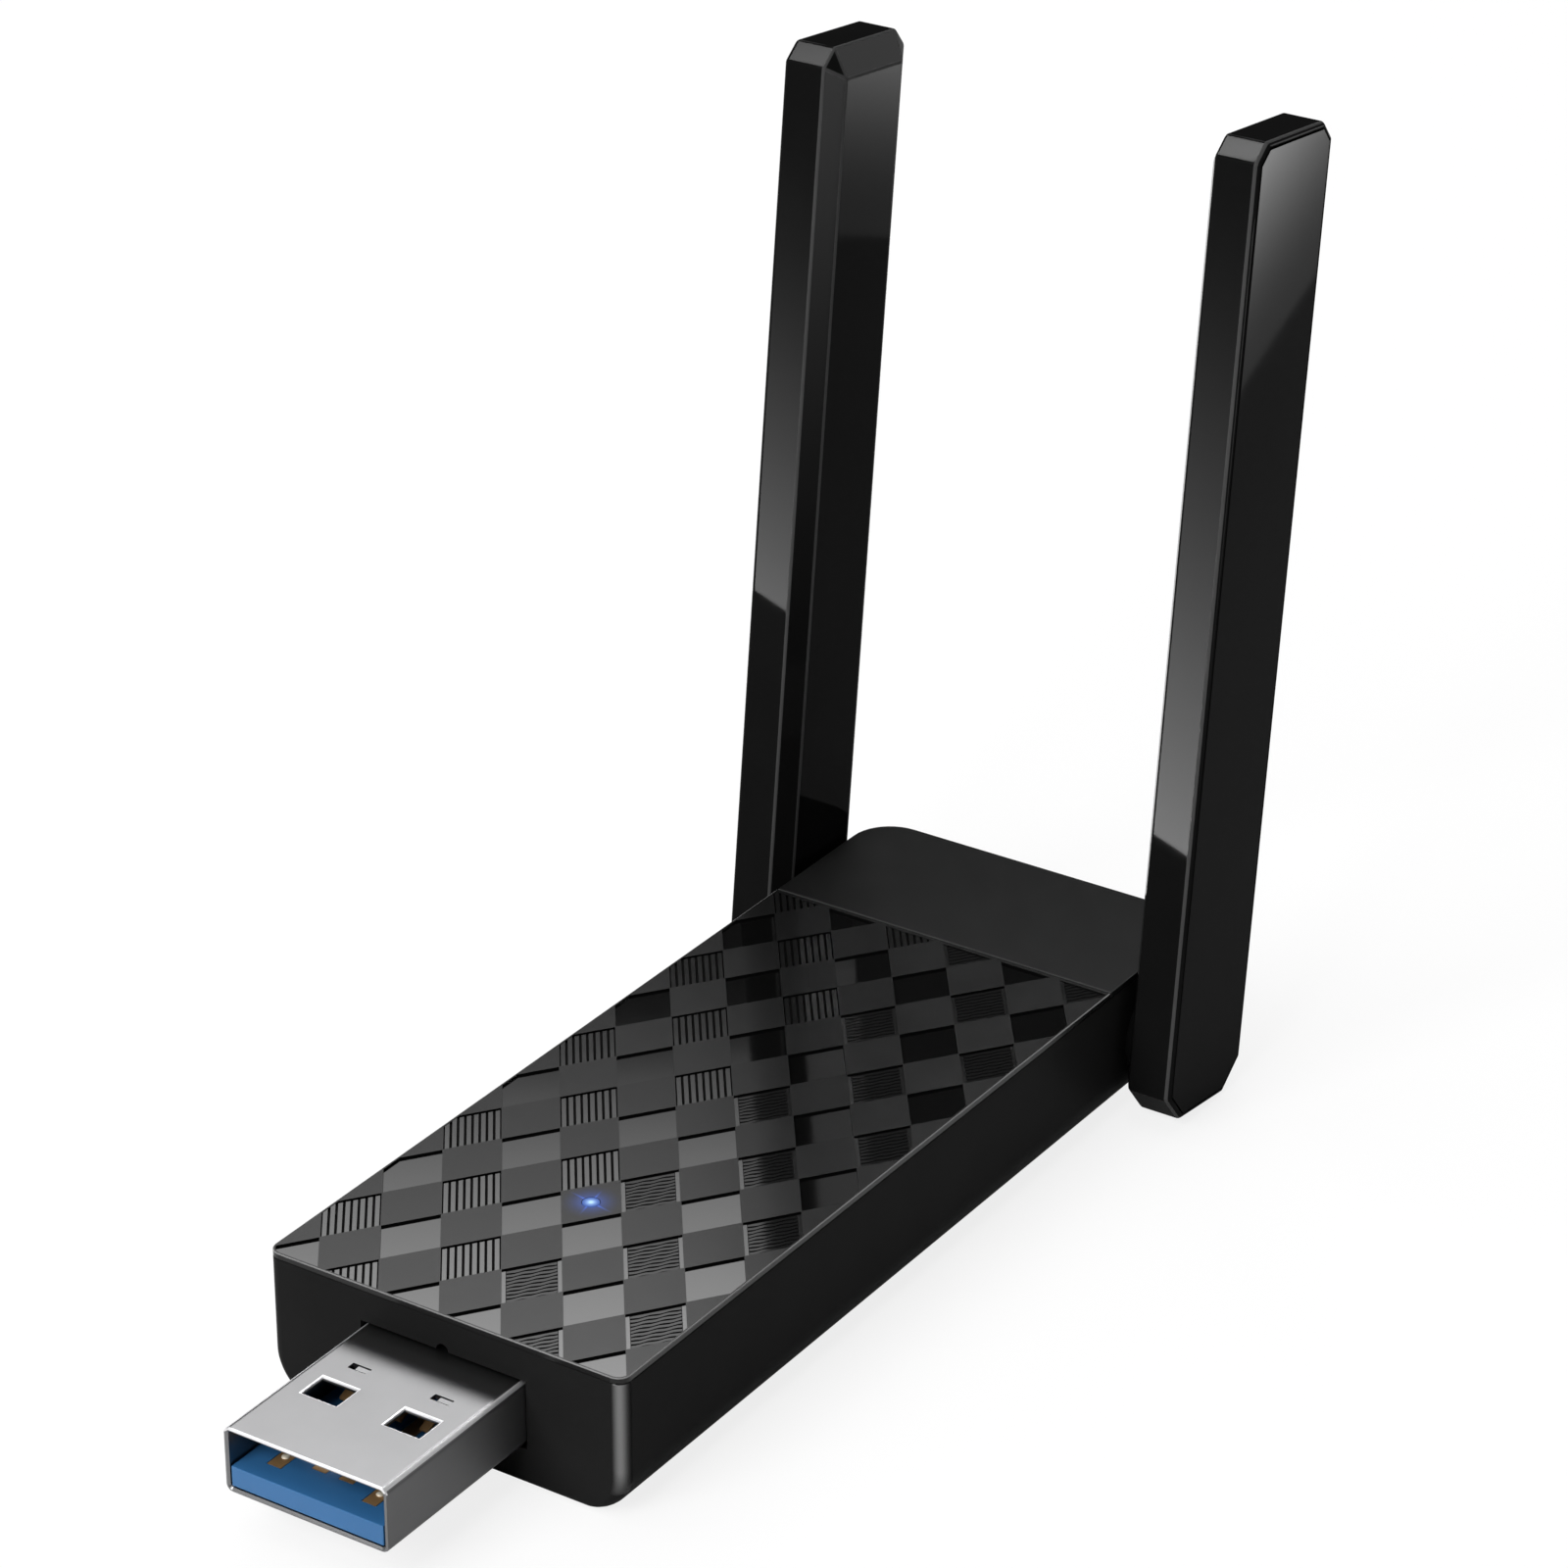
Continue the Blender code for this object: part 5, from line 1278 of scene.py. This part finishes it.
def soft_lamp(name, place, aim, size, power, mirrored):
    """A square soft light, which shiny faces can be kept from mirroring."""
    data = bpy.data.lights.new(name, "AREA")
    data.shape = "SQUARE"
    data.size = size
    data.energy = power
    lamp = linked(name, data)
    lamp.location = place
    lamp.rotation_euler = (Vector(aim) - Vector(place)).to_track_quat("-Z", "Y").to_euler()
    lamp.visible_glossy = mirrored


def make_floor(colours):
    """A wide pale floor that shows as white and still takes the object's shadow."""
    finish = Finish("floor_white")
    rays = finish.node("LightPath").outputs
    mirrored = finish.reckon("MAXIMUM", rays["Is Glossy Ray"], rays["Is Transmission Ray"])
    own_light = finish.total(finish.product(rays["Is Camera Ray"], FLOOR_OWN_LIGHT),
                             finish.product(mirrored, FLOOR_MIRRORED_LIGHT))
    finish.mix(own_light, finish.node("BsdfDiffuse", Color=(*colours.floor, 1.0)).outputs["BSDF"],
               finish.node("Emission", Strength=1.0).outputs["Emission"])
    half = FLOOR_HALF
    plan = ((-half, -half), (half, -half), (half, half), (-half, half))
    sheet("stage_floor", level(plan, -FLOOR_DROP), finish)


def make_camera():
    """The photograph's view."""
    data = bpy.data.cameras.new("camera")
    data.lens = CAMERA_LENS
    data.sensor_width = CAMERA_SENSOR
    data.clip_start, data.clip_end = CAMERA_CLIP
    camera = linked("camera", data)
    camera.location = CAMERA_PLACE
    camera.rotation_euler = (math.pi / 2 - CAMERA_ELEVATION, 0.0, CAMERA_AZIMUTH)
    bpy.context.scene.camera = camera


def make_world():
    """A dim, even room."""
    world = bpy.data.worlds.new("dim_room")
    world.use_nodes = True
    background = world.node_tree.nodes["Background"]
    background.inputs["Color"].default_value = (WORLD_GREY, WORLD_GREY, WORLD_GREY, 1.0)
    bpy.context.scene.world = world


def make_stage(colours, stage):
    """Camera, floor, soft lamps and the cards that the polished faces mirror."""
    bpy.context.scene.view_settings.view_transform = "Standard"
    make_camera()
    make_world()
    make_floor(colours)
    for name, (place, aim, size, mirrored) in LAMPS.items():
        soft_lamp(f"{name}_light", place, aim, size, getattr(stage, f"{name}_power"), mirrored)
    for name, (setting, share, spread, corners) in CARDS.items():
        card(name, corners, getattr(stage, setting) * share, **spread)


# Operators, one for each group of pieces

class AdapterOperator:
    """What the operators share."""

    bl_options = {"REGISTER", "UNDO"}

    def execute(self, context):
        scene = context.scene
        self.make(scene.adapter_sizes, scene.adapter_colours, scene.adapter_stage)
        return {"FINISHED"}


class ADAPTER_OT_case(AdapterOperator, bpy.types.Operator):
    """Make the case tray"""

    bl_idname = "adapter.case"
    bl_label = "Case tray"

    def make(self, sizes, colours, stage):
        make_case(colours)


class ADAPTER_OT_check_plate(AdapterOperator, bpy.types.Operator):
    """Make the top plate with its check of sunk cells"""

    bl_idname = "adapter.check_plate"
    bl_label = "Check plate"

    def make(self, sizes, colours, stage):
        make_check_plate(sizes, colours)


class ADAPTER_OT_rear_cover(AdapterOperator, bpy.types.Operator):
    """Make the smooth cover behind the seam"""

    bl_idname = "adapter.rear_cover"
    bl_label = "Rear cover"

    def make(self, sizes, colours, stage):
        make_rear_cover(sizes, colours)


class ADAPTER_OT_plug(AdapterOperator, bpy.types.Operator):
    """Make the steel shell of the plug"""

    bl_idname = "adapter.plug"
    bl_label = "Plug shell"

    def make(self, sizes, colours, stage):
        make_plug(colours)


class ADAPTER_OT_tongue(AdapterOperator, bpy.types.Operator):
    """Make the plug's tongue and the domes of its contacts"""

    bl_idname = "adapter.tongue"
    bl_label = "Tongue and contacts"

    def make(self, sizes, colours, stage):
        make_tongue(colours)


class ADAPTER_OT_antennas(AdapterOperator, bpy.types.Operator):
    """Make both antennas, each on its own hinge"""

    bl_idname = "adapter.antennas"
    bl_label = "Antennas"

    def make(self, sizes, colours, stage):
        make_antennas(sizes, colours)


class ADAPTER_OT_inner_parts(AdapterOperator, bpy.types.Operator):
    """Give the parts inside the case their finishes"""

    bl_idname = "adapter.inner_parts"
    bl_label = "Inner parts"

    def make(self, sizes, colours, stage):
        dress_inner_parts(colours)


class ADAPTER_OT_stage(AdapterOperator, bpy.types.Operator):
    """Set up the camera, the floor and the light"""

    bl_idname = "adapter.stage"
    bl_label = "Stage"

    def make(self, sizes, colours, stage):
        make_stage(colours, stage)


OPERATORS = (
    ADAPTER_OT_case,
    ADAPTER_OT_check_plate,
    ADAPTER_OT_rear_cover,
    ADAPTER_OT_plug,
    ADAPTER_OT_tongue,
    ADAPTER_OT_antennas,
    ADAPTER_OT_inner_parts,
    ADAPTER_OT_stage,
)


class ADAPTER_PT_panel(bpy.types.Panel):
    """Settings and steps of the adapter's looks"""

    bl_idname = "ADAPTER_PT_panel"
    bl_label = "Wireless adapter"
    bl_space_type = "VIEW_3D"
    bl_region_type = "UI"
    bl_category = "Adapter"

    def draw(self, context):
        layout = self.layout
        scene = context.scene
        for settings in (scene.adapter_sizes, scene.adapter_colours, scene.adapter_stage):
            box = layout.box()
            for name in settings.__annotations__:
                box.prop(settings, name)
        for operator in OPERATORS:
            layout.operator(operator.bl_idname)


CLASSES = (AdapterSizes, AdapterColours, AdapterStage, *OPERATORS, ADAPTER_PT_panel)


def register():
    """Register the classes and hang the settings on the scene."""
    for made in CLASSES:
        bpy.utils.register_class(made)
    bpy.types.Scene.adapter_sizes = PointerProperty(type=AdapterSizes)
    bpy.types.Scene.adapter_colours = PointerProperty(type=AdapterColours)
    bpy.types.Scene.adapter_stage = PointerProperty(type=AdapterStage)


def unregister():
    """Undo what register did."""
    del bpy.types.Scene.adapter_stage
    del bpy.types.Scene.adapter_colours
    del bpy.types.Scene.adapter_sizes
    for made in reversed(CLASSES):
        bpy.utils.unregister_class(made)


def main():
    """Run every step in order."""
    register()
    for operator in OPERATORS:
        group, name = operator.bl_idname.split(".")
        getattr(getattr(bpy.ops, group), name)()
    bpy.context.view_layer.update()


if __name__ == "__main__":
    main()
